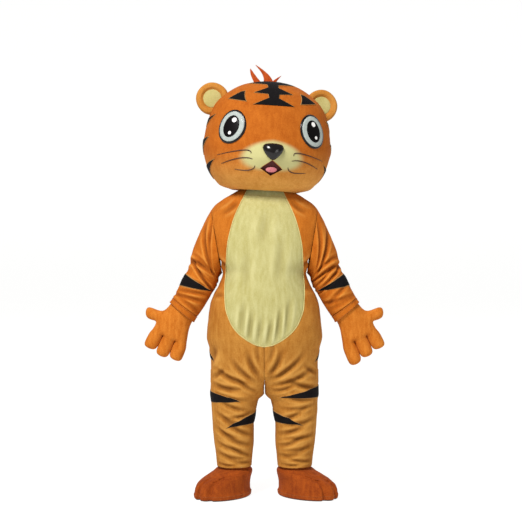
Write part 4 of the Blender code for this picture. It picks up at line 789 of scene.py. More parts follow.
# The back closure: an orange coil zip between the backs, from the neck to below the
# waist. Its tape just shows, and its closed coil stands in the middle.
TAPE_RIB = 0.0016
tape_cloth, tree, shader, place = surface("woven_zip_tape", 0.75)
rib = node(tree, "ShaderNodeTexWave", {"bands_direction": "Z"}, Vector=place,
           Scale=1 / TAPE_RIB / 6.28, Distortion=0.4)
bump = node(tree, "ShaderNodeBump", Height=rib.outputs["Fac"], Strength=0.4, Distance=0.0005)
tree.links.new(bump.outputs["Normal"], shader.inputs["Normal"])
shader.inputs["Base Color"].default_value = linear("#b8692a")

zip_rows = np.append(ROW_HEIGHTS[ROW_HEIGHTS > ZIP_FOOT], ZIP_FOOT - 0.016)
zip_half = np.full(len(zip_rows), ZIP_HALF)
zip_half[-1] = ZIP_HALF * 0.08
zip_x = zip_half[:, None] * np.linspace(-1, 1, 5)
zip_point, zip_normal = whole_skin(1, zip_x, zip_rows[:, None])
zip_point[..., 2] -= SHOULDER_HEIGHT
zip_outer = zip_point - zip_normal * 0.001
zip_tape = cloth("zip_tape", zip_outer, 0.002, tape_cloth, "zip_tape", "back_zip",
                 inner=zip_outer - zip_normal * 0.002)
declare(zip_outer)

TOOTH_PITCH = 0.004
TOOTH = (0.0022, 0.0008, 0.0013)
spine = zip_point[:-1, 2]
tooth_at = np.arange(TOOTH_PITCH, run_of(spine)[-1], TOOTH_PITCH)
tooth_middle = at_lengths(spine, tooth_at)
tooth_shift = np.where(np.arange(len(tooth_at)) % 2 == 0, -0.0006, 0.0006)
corner = np.array([(x, y, z) for x in (-1, 1) for y in (-1, 1) for z in (-1, 1)]) * TOOTH
tooth_points = tooth_middle[:, None] + corner[None] + np.stack(
    [tooth_shift, np.zeros_like(tooth_shift), np.zeros_like(tooth_shift)], -1)[:, None]
box_faces = np.array([(0, 1, 3, 2), (4, 6, 7, 5), (0, 4, 5, 1), (2, 3, 7, 6), (0, 2, 6, 4), (1, 5, 7, 3)])
tooth_faces = (np.arange(len(tooth_at))[:, None, None] * 8 + box_faces[None]).reshape(-1, 4)
teeth_mesh = piece_mesh("zip_teeth", tooth_points.reshape(-1, 3), tooth_faces)
coil_plastic, tree, shader, place = surface("moulded_zip_plastic", 0.45)
shader.inputs["Base Color"].default_value = linear("#a85a20")
finish_piece("zip_teeth", teeth_mesh, coil_plastic, "zip_tape")

# The neck: a low stand-up band of cream plush, mostly hidden under the head.
band_angle = circle(96)
band_rise = np.linspace(0.0005, 0.014, 5) + BODY["height"][0] - SHOULDER_HEIGHT
band_across = BODY["half_width"][0] - 0.0035
band_deep = BODY["front"][0] - 0.0035
band_grid = np.stack([
    np.stack([band_across * np.sin(band_angle), -band_deep * np.cos(band_angle),
              np.full(len(band_angle), z)], -1) for z in band_rise])
neck = cloth("neck_band_plush", band_grid, 0.0025, cream_plush, "cream_plush", "neck_band", closed=True)
declare(band_grid, closed=True)

# The sleeves: one tube of orange plush each, set into the armhole and narrowing to the
# wrist, with creases at the elbow, and a cuff sewn on with two rows of stitching.
SLEEVE = table(
    ("ring", "outer_x", "outer_height", "under_x", "under_height", "half_depth", "y"),
    (0, 0.2400, 1.2850, 0.1900, 1.0000, 0.100, 0.000),
    (1, 0.2680, 1.2320, 0.1985, 0.9900, 0.098, -0.001),
    (2, 0.2910, 1.1800, 0.2060, 0.9780, 0.093, -0.002),
    (3, 0.3120, 1.1300, 0.2070, 0.9660, 0.087, -0.003),
    (4, 0.3260, 1.0900, 0.2110, 0.9540, 0.081, -0.005),
    (5, 0.3345, 1.0500, 0.2160, 0.9410, 0.076, -0.007),
    (6, 0.3430, 1.0150, 0.2250, 0.9250, 0.073, -0.010),
    (7, 0.3610, 0.9850, 0.2360, 0.9080, 0.071, -0.012),
    (8, 0.3780, 0.9510, 0.2500, 0.8840, 0.069, -0.014),
    (9, 0.3940, 0.9180, 0.2700, 0.8500, 0.067, -0.016),
    (10, 0.4090, 0.8930, 0.2960, 0.8120, 0.066, -0.018),
    (11, 0.4250, 0.8685, 0.3170, 0.7785, 0.065, -0.020),
)
SLEEVE_COLUMNS = 14 * FINE
SLEEVE_END = 10.15
CUFF_START = 10.17
SLEEVE_CREASES = table(
    ("side", "ring", "angle", "twist", "reach", "width", "depth"),
    (-1, 2.2, 80, 1.6, 70, 0.30, 0.0104),
    (-1, 4.3, 60, -1.3, 80, 0.27, 0.0117),
    (-1, 5.6, 100, 1.2, 80, 0.25, 0.0117),
    (-1, 6.8, 60, -0.5, 60, 0.17, 0.0065),
    (-1, 9.0, 70, -0.6, 90, 0.22, 0.0078),
    (1, 2.6, 70, 1.4, 70, 0.30, 0.0104),
    (1, 4.6, 90, -1.0, 90, 0.27, 0.0117),
    (1, 5.9, 60, 0.8, 80, 0.23, 0.0104),
    (1, 6.9, 110, 0.5, 60, 0.17, 0.0065),
    (1, 9.1, 90, -0.5, 90, 0.22, 0.0078),
    (-1, 3.4, 280, 1.4, 70, 0.27, 0.0091),
    (-1, 5.0, 250, 1.0, 80, 0.30, 0.0117),
    (-1, 6.4, 290, -0.8, 70, 0.22, 0.0078),
    (1, 3.2, 260, -1.3, 70, 0.27, 0.0091),
    (1, 5.2, 240, -1.0, 80, 0.30, 0.0117),
    (1, 6.6, 280, 0.8, 70, 0.22, 0.0078),
    (-1, 1.2, 70, 2.4, 60, 0.30, 0.0080),
    (-1, 3.3, 95, -1.0, 70, 0.24, 0.0075),
    (-1, 5.0, 75, 0.5, 60, 0.20, 0.0070),
    (-1, 8.2, 80, -0.9, 75, 0.22, 0.0065),
    (-1, 9.6, 100, 0.3, 80, 0.20, 0.0055),
    (1, 1.4, 75, 2.2, 60, 0.30, 0.0075),
    (1, 3.6, 80, -1.2, 70, 0.24, 0.0075),
    (1, 5.2, 100, 0.6, 60, 0.20, 0.0070),
    (1, 8.3, 75, 0.9, 75, 0.22, 0.0065),
    (1, 9.6, 80, -0.3, 80, 0.20, 0.0055),
)


def armhole_loop(front_grid, back_grid):
    """The armhole's edge, from its top down the front and up the back."""
    front = front_grid[ARMHOLE_ROWS, -1].copy()
    back = back_grid[ARMHOLE_ROWS, 0].copy()
    front[0, 1] = 0
    front[-1, 1] = 0
    return np.concatenate([front, back[-2:0:-1]])


def sleeve_rings(side, rings, loop):
    """Rings of a sleeve: the armhole's own shape easing into an ellipse.

    Each ring's middle and half width come from the table. A point lies across it
    by the cosine and ahead of it by the sine of its angle.
    """
    angle = circle(SLEEVE_COLUMNS)
    value = {name: along(SLEEVE, name, rings, "ring")[:, None] for name in SLEEVE if name != "ring"}
    none = np.zeros_like(value["y"])
    outer = np.stack([value["outer_x"], none, value["outer_height"]], -1)
    under = np.stack([value["under_x"], none, value["under_height"]], -1)
    middle = (outer + under) / 2 + np.stack([none, value["y"], none - SHOULDER_HEIGHT], -1)
    half = (outer - under) / 2
    top = np.array([ARMHOLE_TOP[0], 0, ARMHOLE_TOP[1] - SHOULDER_HEIGHT])
    foot = np.array([ARMHOLE_FOOT[0], 0, ARMHOLE_FOOT[1] - SHOULDER_HEIGHT])
    reach = (top - foot) / 2
    placed = loop * np.array([side, 1, 1]) - (top + foot) / 2
    ease = smooth_step(rings / 2.5)[:, None]
    across = (1 - ease) * (placed @ reach / (reach @ reach)) + ease * np.cos(angle)
    deep = (1 - ease) * (-placed[:, 1] / SLEEVE["half_depth"][0]) + ease * np.sin(angle)
    ahead = np.stack([none, -value["half_depth"], none], -1)
    grid = middle + across[..., None] * half + deep[..., None] * ahead
    normal = outward(grid, True)
    sunk = seam_dip((rings - rings[0])[:, None] * 0.05) + 0 * angle
    fold = np.zeros_like(sunk)
    mine = SLEEVE_CREASES["side"] == side
    for crease in rows_of({name: column[mine] for name, column in SLEEVE_CREASES.items()}):
        turn = (np.degrees(angle) - crease["angle"] + 180) % 360 - 180
        line = crease["ring"] + crease["twist"] * turn / 90
        fade = np.clip(1 - (turn / crease["reach"]) ** 2, 0, 1)
        fold = fold + crease["depth"] * fold_profile((rings[:, None] - line) / crease["width"]) * fade
    sunk = sunk + fold + 0.0012 * unevenness(grid + side, 0.08, 1.3)
    grid = grid - normal * sunk[..., None]
    off = unit(np.array([0.285, 0, -0.050]))
    short = np.maximum(SEAM_GAP * 1.5 - (grid - foot) @ off, 0)
    grid = grid + short[..., None] * off
    grid[..., 0] *= side
    return grid, fold_shade(fold)


def stitches(name, path, pitch, length, thick, finish, slot):
    """A row of stitches along a path: a small six-sided spindle every pitch."""
    start = np.arange(pitch / 2, run_of(path)[-1] - length, pitch)
    ends = [at_lengths(path, start + more) for more in (0, length)]
    ahead = unit(ends[1] - ends[0])
    aside = unit(np.cross(ahead, np.array([0.11, 0.83, 0.31])))
    over = np.cross(aside, ahead)
    angle = circle(6)[None, :, None]
    ring = np.cos(angle) * aside[:, None] + np.sin(angle) * over[:, None]
    layers = []
    for share, size in ((0.0, 0.35), (0.25, 1.0), (0.75, 1.0), (1.0, 0.35)):
        middle = ends[0] * (1 - share) + ends[1] * share
        layers.append(middle[:, None] + ring * thick * size)
    points = np.stack(layers, 1)
    caps = np.array([(0, 5, 4, 3), (0, 3, 2, 1), (18, 19, 20, 21), (18, 21, 22, 23)])
    base = np.arange(len(start))[:, None, None] * 24
    faces = (base + np.concatenate([ring_faces(points[0]), caps])[None]).reshape(-1, 4)
    mesh = piece_mesh(name, points.reshape(-1, 3), faces)
    return finish_piece(name, turn_out(mesh), finish, slot)


def mottled(name, dark, light, patch, roughness, detail=2.0):
    """A matt material in two close tones, mixed by noise with patches of a given size."""
    made, tree, shader, place = surface(name, roughness)
    tone = node(tree, "ShaderNodeTexNoise", Vector=place, Scale=1 / patch, Detail=detail)
    mixed = node(tree, "ShaderNodeMix", {"data_type": "RGBA"}, _0=tone.outputs["Fac"],
                 _6=linear(dark), _7=linear(light))
    tree.links.new(mixed.outputs[2], shader.inputs["Base Color"])
    return made


# Spun polyester sewing thread, darker than the plush that it sinks into.
thread = mottled("spun_polyester_thread", "#8f4f1d", "#a9632a", 0.02, 0.7)

# The deep pair is painted shade in the sleeve creases and a painted highlight on their shoulders.
arm_plush = plush("orange_arm_plush", "#c06b1c", "#a5520b", deep=("#66300a", "#dc9440"))
sleeves = {}
for side, word in SIDES:
    loop = armhole_loop(fronts[side], backs[side])
    rings = np.linspace(0, SLEEVE_END, 10 * FINE + 2)
    grid, fold = sleeve_rings(side, rings, loop)
    sleeves[side] = grid
    sleeve = cloth("sleeve_plush_" + word, grid, PLUSH, arm_plush, "orange_plush",
                   "sleeve_" + word, closed=True, marks={"fold": fold})
    declare(grid, True)
    cuff_rings = np.linspace(CUFF_START, 11.0, FINE + 2)
    grid = sleeve_rings(side, cuff_rings, loop)[0]
    cuff = cloth("cuff_plush_" + word, grid, PLUSH, arm_plush, "orange_plush",
                 "cuff_" + word, closed=True)
    declare(grid, True)
    for row, ring in ((1, 10.30), (2, 10.92)):
        path = sleeve_rings(side, np.array([ring - 0.02, ring, ring + 0.02]), loop)[0][1]
        path = np.concatenate([path, path[:1]])
        away = unit(path - path.mean(0))
        stitches("cuff_stitches_%s_%d" % (word, row), path + away * 0.0028, 0.0062, 0.0042,
                 0.0010, thread, "orange_plush")

# The gloves: orange plush mitts with a thumb and three broad fingers, pulled on under
# the cuffs. The palm faces forward, and faint grooves part the fingers.
GLOVE_Y = -0.019
GLOVE_ROWS = table(
    ("row", "x", "height", "half_across", "half_depth", "turn", "flat"),
    (0, 0.3560, 0.8420, 0.0690, 0.0650, 40, 0.0),
    (1, 0.3760, 0.8180, 0.0690, 0.0640, 39, 0.0),
    (2, 0.3960, 0.7860, 0.0720, 0.0540, 33, 0.5),
    (3, 0.4130, 0.7480, 0.0780, 0.0440, 27, 1.0),
    (4, 0.4270, 0.7120, 0.0850, 0.0400, 24, 1.0),
)
FINGERS = table(
    ("finger", "lean", "reach", "half_width", "half_depth"),
    (0, 0.006, 0.090, 0.0338, 0.034),
    (1, 0.000, 0.102, 0.0335, 0.035),
    (2, -0.005, 0.092, 0.0338, 0.034),
)
FINGER_RINGS = ((0.16, 1.02), (0.60, 1.01), (0.96, 0.92))
THUMB_REACH = 0.072
THUMB_RISE = 0.026
THUMB_RINGS = ((0.40, 0.030, 0.030), (0.90, 0.028, 0.029))
THUMB_SLANT = 0.006
ROUND_PLACES = np.array([(0.924, 0.383), (0.383, 0.924), (-0.383, 0.924), (-0.924, 0.383)])
FLAT_PLACES = np.array([(1.0, 0.70), (0.36, 1.0), (-0.36, 1.0), (-1.0, 0.70)])


def glove_cage(side, inner_finger_extra):
    """A coarse cage: rings down the hand, a box of rings for each finger and the thumb."""
    bm = bmesh.new()

    def place(x, height, y):
        return bm.verts.new((side * x, y, height - SHOULDER_HEIGHT))

    rows = []
    for value in rows_of(GLOVE_ROWS):
        turn = math.radians(value["turn"])
        ring = []
        for face, k in [(-1, k) for k in range(4)] + [(1, k) for k in (3, 2, 1, 0)]:
            s, d = (1 - value["flat"]) * ROUND_PLACES[k] + value["flat"] * FLAT_PLACES[k]
            across = s * value["half_across"]
            ring.append(place(value["x"] + across * math.cos(turn),
                              value["height"] + across * math.sin(turn),
                              GLOVE_Y + face * d * value["half_depth"]))
        rows.append(ring)
    for upper, lower in zip(rows, rows[1:]):
        for k in range(8):
            if k < 7 or upper is not rows[2]:
                bm.faces.new((upper[k], upper[(k + 1) % 8], lower[(k + 1) % 8], lower[k]))

    def grow(root, ring):
        for e in range(4):
            bm.faces.new((root[e], root[(e + 1) % 4], ring[(e + 1) % 4], ring[e]))
        return ring

    turn = math.radians(GLOVE_ROWS["turn"][-1])
    out = Vector((math.cos(turn), math.sin(turn)))
    down = Vector((math.sin(turn), -math.cos(turn)))
    for k, finger in enumerate(rows_of(FINGERS)):
        root = [rows[-1][k], rows[-1][k + 1], rows[-1][6 - k], rows[-1][7 - k]]
        middle = sum((vert.co for vert in root), Vector()) / 4
        reach = finger["reach"] + (inner_finger_extra if k == 2 else 0)
        for share, size in FINGER_RINGS:
            across = finger["lean"] * share
            x = side * middle.x + down.x * reach * share + out.x * across
            height = middle.z + SHOULDER_HEIGHT + down.y * reach * share + out.y * across
            wide = finger["half_width"] * size
            deep = finger["half_depth"] * size
            root = grow(root, [place(x + s * out.x * wide, height + s * out.y * wide, GLOVE_Y + d * deep)
                               for s, d in ((1, -1), (-1, -1), (-1, 1), (1, 1))])
        bm.faces.new(root)
    root = [rows[2][0], rows[2][7], rows[3][7], rows[3][0]]
    middle = sum((vert.co for vert in root), Vector()) / 4
    for share, tall, deep in THUMB_RINGS:
        x = side * middle.x + THUMB_REACH * share
        height = middle.z + SHOULDER_HEIGHT + THUMB_RISE * share
        root = grow(root, [place(x, height + tall, GLOVE_Y - deep), place(x, height + tall, GLOVE_Y + deep),
                           place(x + THUMB_SLANT, height - tall, GLOVE_Y + deep),
                           place(x + THUMB_SLANT, height - tall, GLOVE_Y - deep)])
    bm.faces.new(root)
    bmesh.ops.recalc_face_normals(bm, faces=bm.faces)
    bm.normal_update()
    if min(bm.faces, key=lambda f: f.calc_center_median().z).normal.z > 0:
        bmesh.ops.reverse_faces(bm, faces=bm.faces)
    return bm


GLOVE_LEVELS = 3
glove_plush = plush("orange_glove_plush", "#cc7a2a", "#b05c10", streak=0.8)
for side, word, extra in ((-1, "left", 0.0), (1, "right", 0.022)):
    bm = glove_cage(side, extra)
    mesh = bpy.data.meshes.new("glove_plush_" + word)
    bm.to_mesh(mesh)
    bm.free()
    glove = finish_piece("glove_plush_" + word, mesh, glove_plush, "orange_plush", "glove_" + word)
    smooth = glove.modifiers.new("smooth", "SUBSURF")
    smooth.levels = GLOVE_LEVELS
    smooth.render_levels = GLOVE_LEVELS
    wall = glove.modifiers.new("cloth", "SOLIDIFY")
    wall.thickness = PLUSH
    wall.offset = -1
    sewn = bpy.data.meshes.new_from_object(glove.evaluated_get(bpy.context.evaluated_depsgraph_get()))
    bpy.data.meshes.remove(sewn)

# The feet covers: rust-coloured plush uppers over foam, with soft toes, turned out. Each
# is drawn down over the edge of a flat brown rubber sole, and the leg's hem stands on it.
FOOT = table(
    ("height", "forward", "out", "half_length", "half_width", "turn", "toes"),
    (0.150, 0.000, 0.000, 0.0935, 0.0710, 0.0, 0.0),
    (0.130, 0.000, 0.000, 0.0950, 0.0720, 0.0, 0.0),
    (0.116, 0.012, 0.002, 0.1110, 0.0840, 0.3, 0.1),
    (0.098, 0.030, 0.008, 0.1280, 0.0930, 0.7, 0.4),
    (0.078, 0.047, 0.014, 0.1430, 0.0990, 0.95, 0.8),
    (0.056, 0.056, 0.018, 0.1530, 0.1030, 1.0, 1.0),
    (0.034, 0.058, 0.020, 0.1570, 0.1050, 1.0, 1.0),
    (0.0163, 0.056, 0.020, 0.1530, 0.1020, 1.0, 0.9),
)
FOOT_COLUMNS = 24 * FINE
FOOT_WALL = 0.004
SOLE_THICK = 0.016
ANKLE_X = 0.136
FOOT_TURN = {-1: 33, 1: 41}
TOE_VALLEY = 0.019
FOOT_CREASES = ((0.122, 0.0045, 0.004), (0.106, 0.006, 0.004), (0.090, 0.005, 0.003))


def off_toe(angle):
    """How far each angle round the foot lies from the toe, either way."""
    return np.abs((angle + math.pi) % (2 * math.pi) - math.pi)


def foot_grid(side, heights, grow=0.0):
    """Outlines at each height: a turned oval, less two bell-shaped valleys at the toes."""
    angle = circle(FOOT_COLUMNS)[None, :]
    value = {name: along(FOOT, name, heights)[:, None] for name in FOOT if name != "height"}
    valley = np.exp(-((off_toe(angle) - 0.285) / 0.10) ** 2)
    ahead = (value["half_length"] + grow) * np.cos(angle) - TOE_VALLEY * value["toes"] * valley
    aside = (value["half_width"] + grow) * np.sin(angle)
    turn = np.radians(FOOT_TURN[side]) * value["turn"]
    ahead = ahead + value["forward"]
    x = ANKLE_X + value["out"] + ahead * np.sin(turn) + aside * np.cos(turn)
    y = -ahead * np.cos(turn) + aside * np.sin(turn)
    z = heights[:, None] - SHOULDER_HEIGHT + 0 * x
    return np.stack([side * x, y, z], -1)


def overhang(height):
    """How far the plush stands out where it is turned down over the sole: eased to 8 mm."""
    return 0.008 * smooth_step((0.034 - height) / 0.018)


foot_plush = plush("rust_cut_pile_plush", "#a54d14", "#7a300a")
sole_rubber = mottled("moulded_brown_rubber", "#3a1d0e", "#54301a", 0.03, 0.7, 4.0)
SOLE_RINGS = ((0.016, -0.05), (0.016, 0.0015), (0.014, 0.003), (0.004, 0.003), (0.001, 0.002),
              (0.0, 0.0), (0.0, -0.05))
for side, word in SIDES:
    heights = np.linspace(0.150, 0.005, 10 * FINE)
    grid = foot_grid(side, heights, overhang(heights)[:, None])
    normal = outward(grid, True)
    angle = circle(FOOT_COLUMNS)[None, :]
    sunk = seam_dip(heights[:, None] - heights[-1]) + 0 * angle
    for level, width, depth in FOOT_CREASES:
        line = level + 0.006 * np.cos(angle * 2 + side) - 0.012 * np.cos(angle)
        bell = np.exp(-((heights[:, None] - line) / width) ** 2)
        sunk = sunk + depth * bell * smooth_step((1.3 - off_toe(angle)) / 0.9)
    sunk = sunk + 0.0012 * unevenness(grid, 0.06, 0.7 + side)
    grid = grid - normal * sunk[..., None]
    foot = cloth("foot_plush_" + word, grid, FOOT_WALL, foot_plush, "foot_plush", "foot_" + word,
                 closed=True)
    rings = np.concatenate([foot_grid(side, np.array([SOLE_THICK + SEAM_GAP]), size)
                            for level, size in SOLE_RINGS])
    rings[..., 2] = np.array(SOLE_RINGS)[:, :1] - SHOULDER_HEIGHT
    sole = ring_solid("sole_rubber_" + word, rings, sole_rubber, "sole_rubber", "sole_" + word,
                      ends=FOOT_COLUMNS)
    sole.data.set_sharp_from_angle(angle=math.radians(50))
    welt = foot_grid(side, np.array([0.020]), overhang(0.020) + 0.0004)[0]
    welt = np.concatenate([welt, welt[:1]])
    stitches("foot_stitches_" + word, welt, 0.0075, 0.005, 0.0009, thread, "foot_plush")

# The head: a carved foam shell 12 mm thick under orange plush, cut as a face and two
# backs. The muzzle is airbrushed cream round the nose, and the mouth is a diamond hole.
HEAD_BASE = 1.3660
HEAD_TURN = math.radians(6)
HEAD_TILT = math.radians(3.2)
HEAD_WALL = 0.012
HEAD_ROUNDNESS = 2.1
HEAD = table(
    ("height", "half_width", "front", "back"),
    (0.000, 0.150, 0.124, 0.126),
    (0.016, 0.201, 0.164, 0.160),
    (0.034, 0.221, 0.186, 0.180),
    (0.070, 0.250, 0.214, 0.205),
    (0.106, 0.268, 0.231, 0.222),
    (0.142, 0.279, 0.240, 0.233),
    (0.196, 0.287, 0.242, 0.241),
    (0.250, 0.281, 0.236, 0.241),
    (0.322, 0.266, 0.220, 0.229),
    (0.358, 0.254, 0.206, 0.217),
    (0.394, 0.232, 0.186, 0.198),
    (0.430, 0.193, 0.154, 0.166),
    (0.466, 0.137, 0.108, 0.118),
    (0.484, 0.080, 0.064, 0.070),
    (0.491, 0.000, 0.000, 0.000),
)
HEAD_TOP = 0.491
MUZZLE = {"height": 0.150, "across": 0.095, "tall": 0.060, "depth": 0.024}
AIRBRUSH = {"across": 0.138, "tall": 0.066, "droop": 0.10, "reach": 1.12, "fade": 0.34}
HEAD_MATRIX = np.array(Matrix.Translation((0, 0, HEAD_BASE - SHOULDER_HEIGHT))
                       @ Matrix.Rotation(HEAD_TILT, 4, "Y") @ Matrix.Rotation(HEAD_TURN, 4, "Z"))


def on_neck(points):
    """Points of the head carried to its place, turned and tilted."""
    return points @ HEAD_MATRIX[:3, :3].T + HEAD_MATRIX[:3, 3]


def head_point(turn, height):
    """The head's outside: a superellipse at each height, with a bell for the muzzle."""
    turn, height = np.broadcast_arrays(turn, height)
    power = 2 / HEAD_ROUNDNESS
    s = np.sin(turn)
    c = np.cos(turn)
    deep = np.where(c > 0, along(HEAD, "front", height), along(HEAD, "back", height))
    x = along(HEAD, "half_width", height) * np.sign(s) * np.abs(s) ** power
    y = -deep * np.sign(c) * np.abs(c) ** power
    bump = np.exp(-(x / MUZZLE["across"]) ** 2 - ((height - MUZZLE["height"]) / MUZZLE["tall"]) ** 2)
    return np.stack([x, y - MUZZLE["depth"] * bump * (c > 0), height], -1)


def head_normal(turn, height):
    """Outward direction on the head: the cross of small steps round and up."""
    height = np.clip(height, 0.001, HEAD_TOP - 0.0005)
    over = head_point(turn + 0.02, height) - head_point(turn - 0.02, height)
    rise = head_point(turn, height + 0.0004) - head_point(turn, height - 0.0004)
    return unit(np.cross(over, rise))


head_plush = plush("orange_head_plush", "#b4621a", "#9c4c0b", "#d49a4c", "#bd8036", low_from=0.22,
                   low_to=0.01, pale_mark=("muzzle", "#bab47c"))
HEAD_STEPS = 17 * FINE
head_rise = np.linspace(0, 1, HEAD_STEPS)
head_heights = HEAD_TOP * (1.15 * head_rise - 0.15 * head_rise ** 3)
head_heights = head_heights / head_heights[-1] * HEAD_TOP
head_heights[-6:] = HEAD_TOP - (HEAD_TOP - head_heights[-6]) * np.linspace(1, 0, 6) ** 1.6


def head_panel(name, first, last, node_name):
    """One panel of the head between two turns, rolled in a little where it is sewn."""
    steps = int(abs(last - first) / 90 * 9 * FINE)
    turn = np.radians(np.linspace(first, last, steps + 1))[None, :]
    height = head_heights[:, None]
    outer = head_point(turn, height)
    normal = head_normal(turn, height)
    normal[-1] = (0, 0, 1)
    from_seam = np.minimum(np.abs(turn - turn[:, :1]), np.abs(turn - turn[:, -1:]))
    sunk = seam_dip(from_seam * np.linalg.norm(outer[..., :2], axis=-1)) * (height < HEAD_TOP - 0.01)
    sunk = sunk + 0.0010 * unevenness(outer, 0.11, 0.4)
    inner = outer - normal * HEAD_WALL
    outer = outer - normal * sunk[..., None]
    front = abs(first) <= 90 and abs(last) <= 90
    for grid in (outer, inner):
        if front:
            grid[..., 1] = np.minimum(grid[..., 1], -SEAM_GAP / 2)
        else:
            side = np.sign(first + last)
            grid[..., 1] = np.maximum(grid[..., 1], SEAM_GAP / 2)
            grid[..., 0] = side * np.maximum(side * grid[..., 0], SEAM_GAP / 2)
    over = outer[..., 0] / AIRBRUSH["across"]
    rise = (height - MUZZLE["height"] + AIRBRUSH["droop"] * np.abs(outer[..., 0])) / AIRBRUSH["tall"]
    muzzle = smooth_step((AIRBRUSH["reach"] - np.hypot(over, rise)) / AIRBRUSH["fade"]) * front
    head = cloth(name, on_neck(outer), HEAD_WALL, head_plush, "orange_plush", node_name,
                 inner=on_neck(inner), marks={"muzzle": muzzle})
    return head


MOUTH_HEIGHT = 0.0965
MOUTH_CORNERS = ((0.049, -0.0045), (0.0, 0.032), (-0.049, -0.0045), (0.0, -0.0345))
head_panel("head_back_plush_right", 90, 180, "head_back_right")
head_panel("head_back_plush_left", -180, -90, "head_back_left")
face = head_panel("face_plush", -90, 90, "head_face")
bar = np.array([(a, y, MOUTH_HEIGHT + b) for y in (-0.32, -0.12) for a, b in MOUTH_CORNERS])
bar_faces = [(0, 1, 2, 3), (7, 6, 5, 4)] + [(k, k + 4, (k + 1) % 4 + 4, (k + 1) % 4) for k in range(4)]
bar_mesh = bpy.data.meshes.new("mouth_bar")
bar_mesh.from_pydata(on_neck(bar).tolist(), [], bar_faces)
mouth_bar = bpy.data.objects.new("mouth_bar", turn_out(bar_mesh))
scene.collection.objects.link(mouth_bar)
cut = face.modifiers.new("mouth", "BOOLEAN")
cut.operation = "DIFFERENCE"
cut.object = mouth_bar
cut_face = bpy.data.meshes.new_from_object(face.evaluated_get(bpy.context.evaluated_depsgraph_get()))
face.modifiers.clear()
face.data = cut_face
cut_face.shade_smooth()
cut_face.set_sharp_from_angle(angle=math.radians(60))
bpy.data.objects.remove(mouth_bar)


def head_patch(name, turn, height, corners, thick, finish, slot, *nodes, rings=10, lean=0.0,
               edge=None, lift=0.0006, rim=0.0):
    """A patch on the head: its outline filled by smaller copies of itself.

    Corners are metres across and up from its centre. It swells from its edge to
    its middle by a half circle. Its mark "rim" is 1 within rim of the outline.
    """
    at = np.array([math.radians(turn)])
    level = np.array([height])
    wide = np.linalg.norm(head_point(at + 0.01, level) - head_point(at - 0.01, level)) / 0.02
    tall = np.linalg.norm(head_point(at, level + 0.004) - head_point(at, level - 0.004)) / 0.008
    a, b = np.array(corners, float).T
    tilt = math.radians(lean)
    across = a * math.cos(tilt) + b * math.sin(tilt)
    up = b * math.cos(tilt) - a * math.sin(tilt)
    share = np.linspace(0, 1, rings + 1)[:, None]
    turns = at + across * share / wide
    levels = level + up * share / tall
    seat = head_point(turns, levels)
    normal = head_normal(turns, levels)
    edge = thick if edge is None else edge
    swell = edge + (thick - edge) * np.sqrt(np.clip(1 - share ** 2, 0, 1))
    high = seat + normal * (lift + swell[..., None])
    low = seat + normal * (lift - 0.0004)
    size = np.hypot(a, b)
    marks = {"rim": smooth_step((share * size - (size - rim)) / max(rim, 1e-6)) * (rim > 0)}
    uv = np.stack([np.broadcast_to(a * share, turns.shape), np.broadcast_to(b * share, turns.shape)], -1)
    marks = {key: np.broadcast_to(value, turns.shape) for key, value in marks.items()}
    return cloth(name, on_neck(high), thick, finish, slot, *nodes, closed=True, uv=uv, marks=marks,
                 inner=on_neck(low))


def oval(half_across, half_up, count=64):
    """Corners of an oval: cosine across, sine up."""
    angle = circle(count)
    return np.stack([half_across * np.cos(angle), half_up * np.sin(angle)], -1)


def spread(corners, each):
    """An outline with more points along each of its sides, in straight steps."""
    corners = np.array(corners, float)
    share = np.arange(each) / each
    return (corners[:, None] + (np.roll(corners, -1, 0) - corners)[:, None] * share[:, None]).reshape(-1, 2)


def moulded(name, light, dark, roughness, coat, patch_size):
    """Moulded plastic: two close tones, a faint orange-peel bump, and a clear coat."""
    made, tree, shader, place = surface(name, roughness)
    tone = node(tree, "ShaderNodeTexNoise", Vector=place, Scale=1 / patch_size, Detail=2.0)
    colour = node(tree, "ShaderNodeMix", {"data_type": "RGBA"}, _0=tone.outputs["Fac"],
                  _6=linear(dark), _7=linear(light))
    peel = node(tree, "ShaderNodeTexNoise", Vector=place, Scale=1 / 0.002, Detail=1.0)
    bump = node(tree, "ShaderNodeBump", Height=peel.outputs["Fac"], Strength=0.06, Distance=0.0004)
    tree.links.new(colour.outputs[2], shader.inputs["Base Color"])
    tree.links.new(bump.outputs["Normal"], shader.inputs["Normal"])
    shader.inputs["Specular IOR Level"].default_value = 0.04 + 0.6 * coat
    shader.inputs["Coat Weight"].default_value = coat
    shader.inputs["Coat Roughness"].default_value = 0.08
    return made


# The eyes: moulded discs glued on the plush. A black rim holds a grey-white disc, and a
# domed black pupil on it has two painted white glints.
eye_black = moulded("gloss_black_abs", "#171112", "#0a0708", 0.30, 0.2, 0.03)
eye_grey = moulded("satin_white_abs", "#b4bab4", "#8f9893", 0.50, 0.05, 0.012)
pupil_black = moulded("painted_pupil_abs", "#0e0a0b", "#070506", 0.42, 0.05, 0.03)
EYE_TURN = 39
EYE_HEIGHT = 0.267
EYE_LEAN = 11
GLINTS = ((0.006, 0.030, 0.0115), (0.004, -0.029, 0.0080))
tree = pupil_black.node_tree
pupil_uv = node(tree, "ShaderNodeUVMap", {"uv_map": "cloth"}).outputs["UV"]
pupil_colour = tree.nodes["Principled BSDF"].inputs["Base Color"].links[0].from_socket
for across, up, radius in GLINTS:
    away = node(tree, "ShaderNodeVectorMath", {"operation": "DISTANCE"}, _0=pupil_uv, _1=(across, up, 0))
    dot = node(tree, "ShaderNodeMapRange", Value=away.outputs["Value"],
               **{"From__Min": radius, "From__Max": radius - 0.0015})
    mixed = node(tree, "ShaderNodeMix", {"data_type": "RGBA"}, _0=dot.outputs["Result"],
                 _6=pupil_colour, _7=linear("#e9e6e2"))
    pupil_colour = mixed.outputs[2]
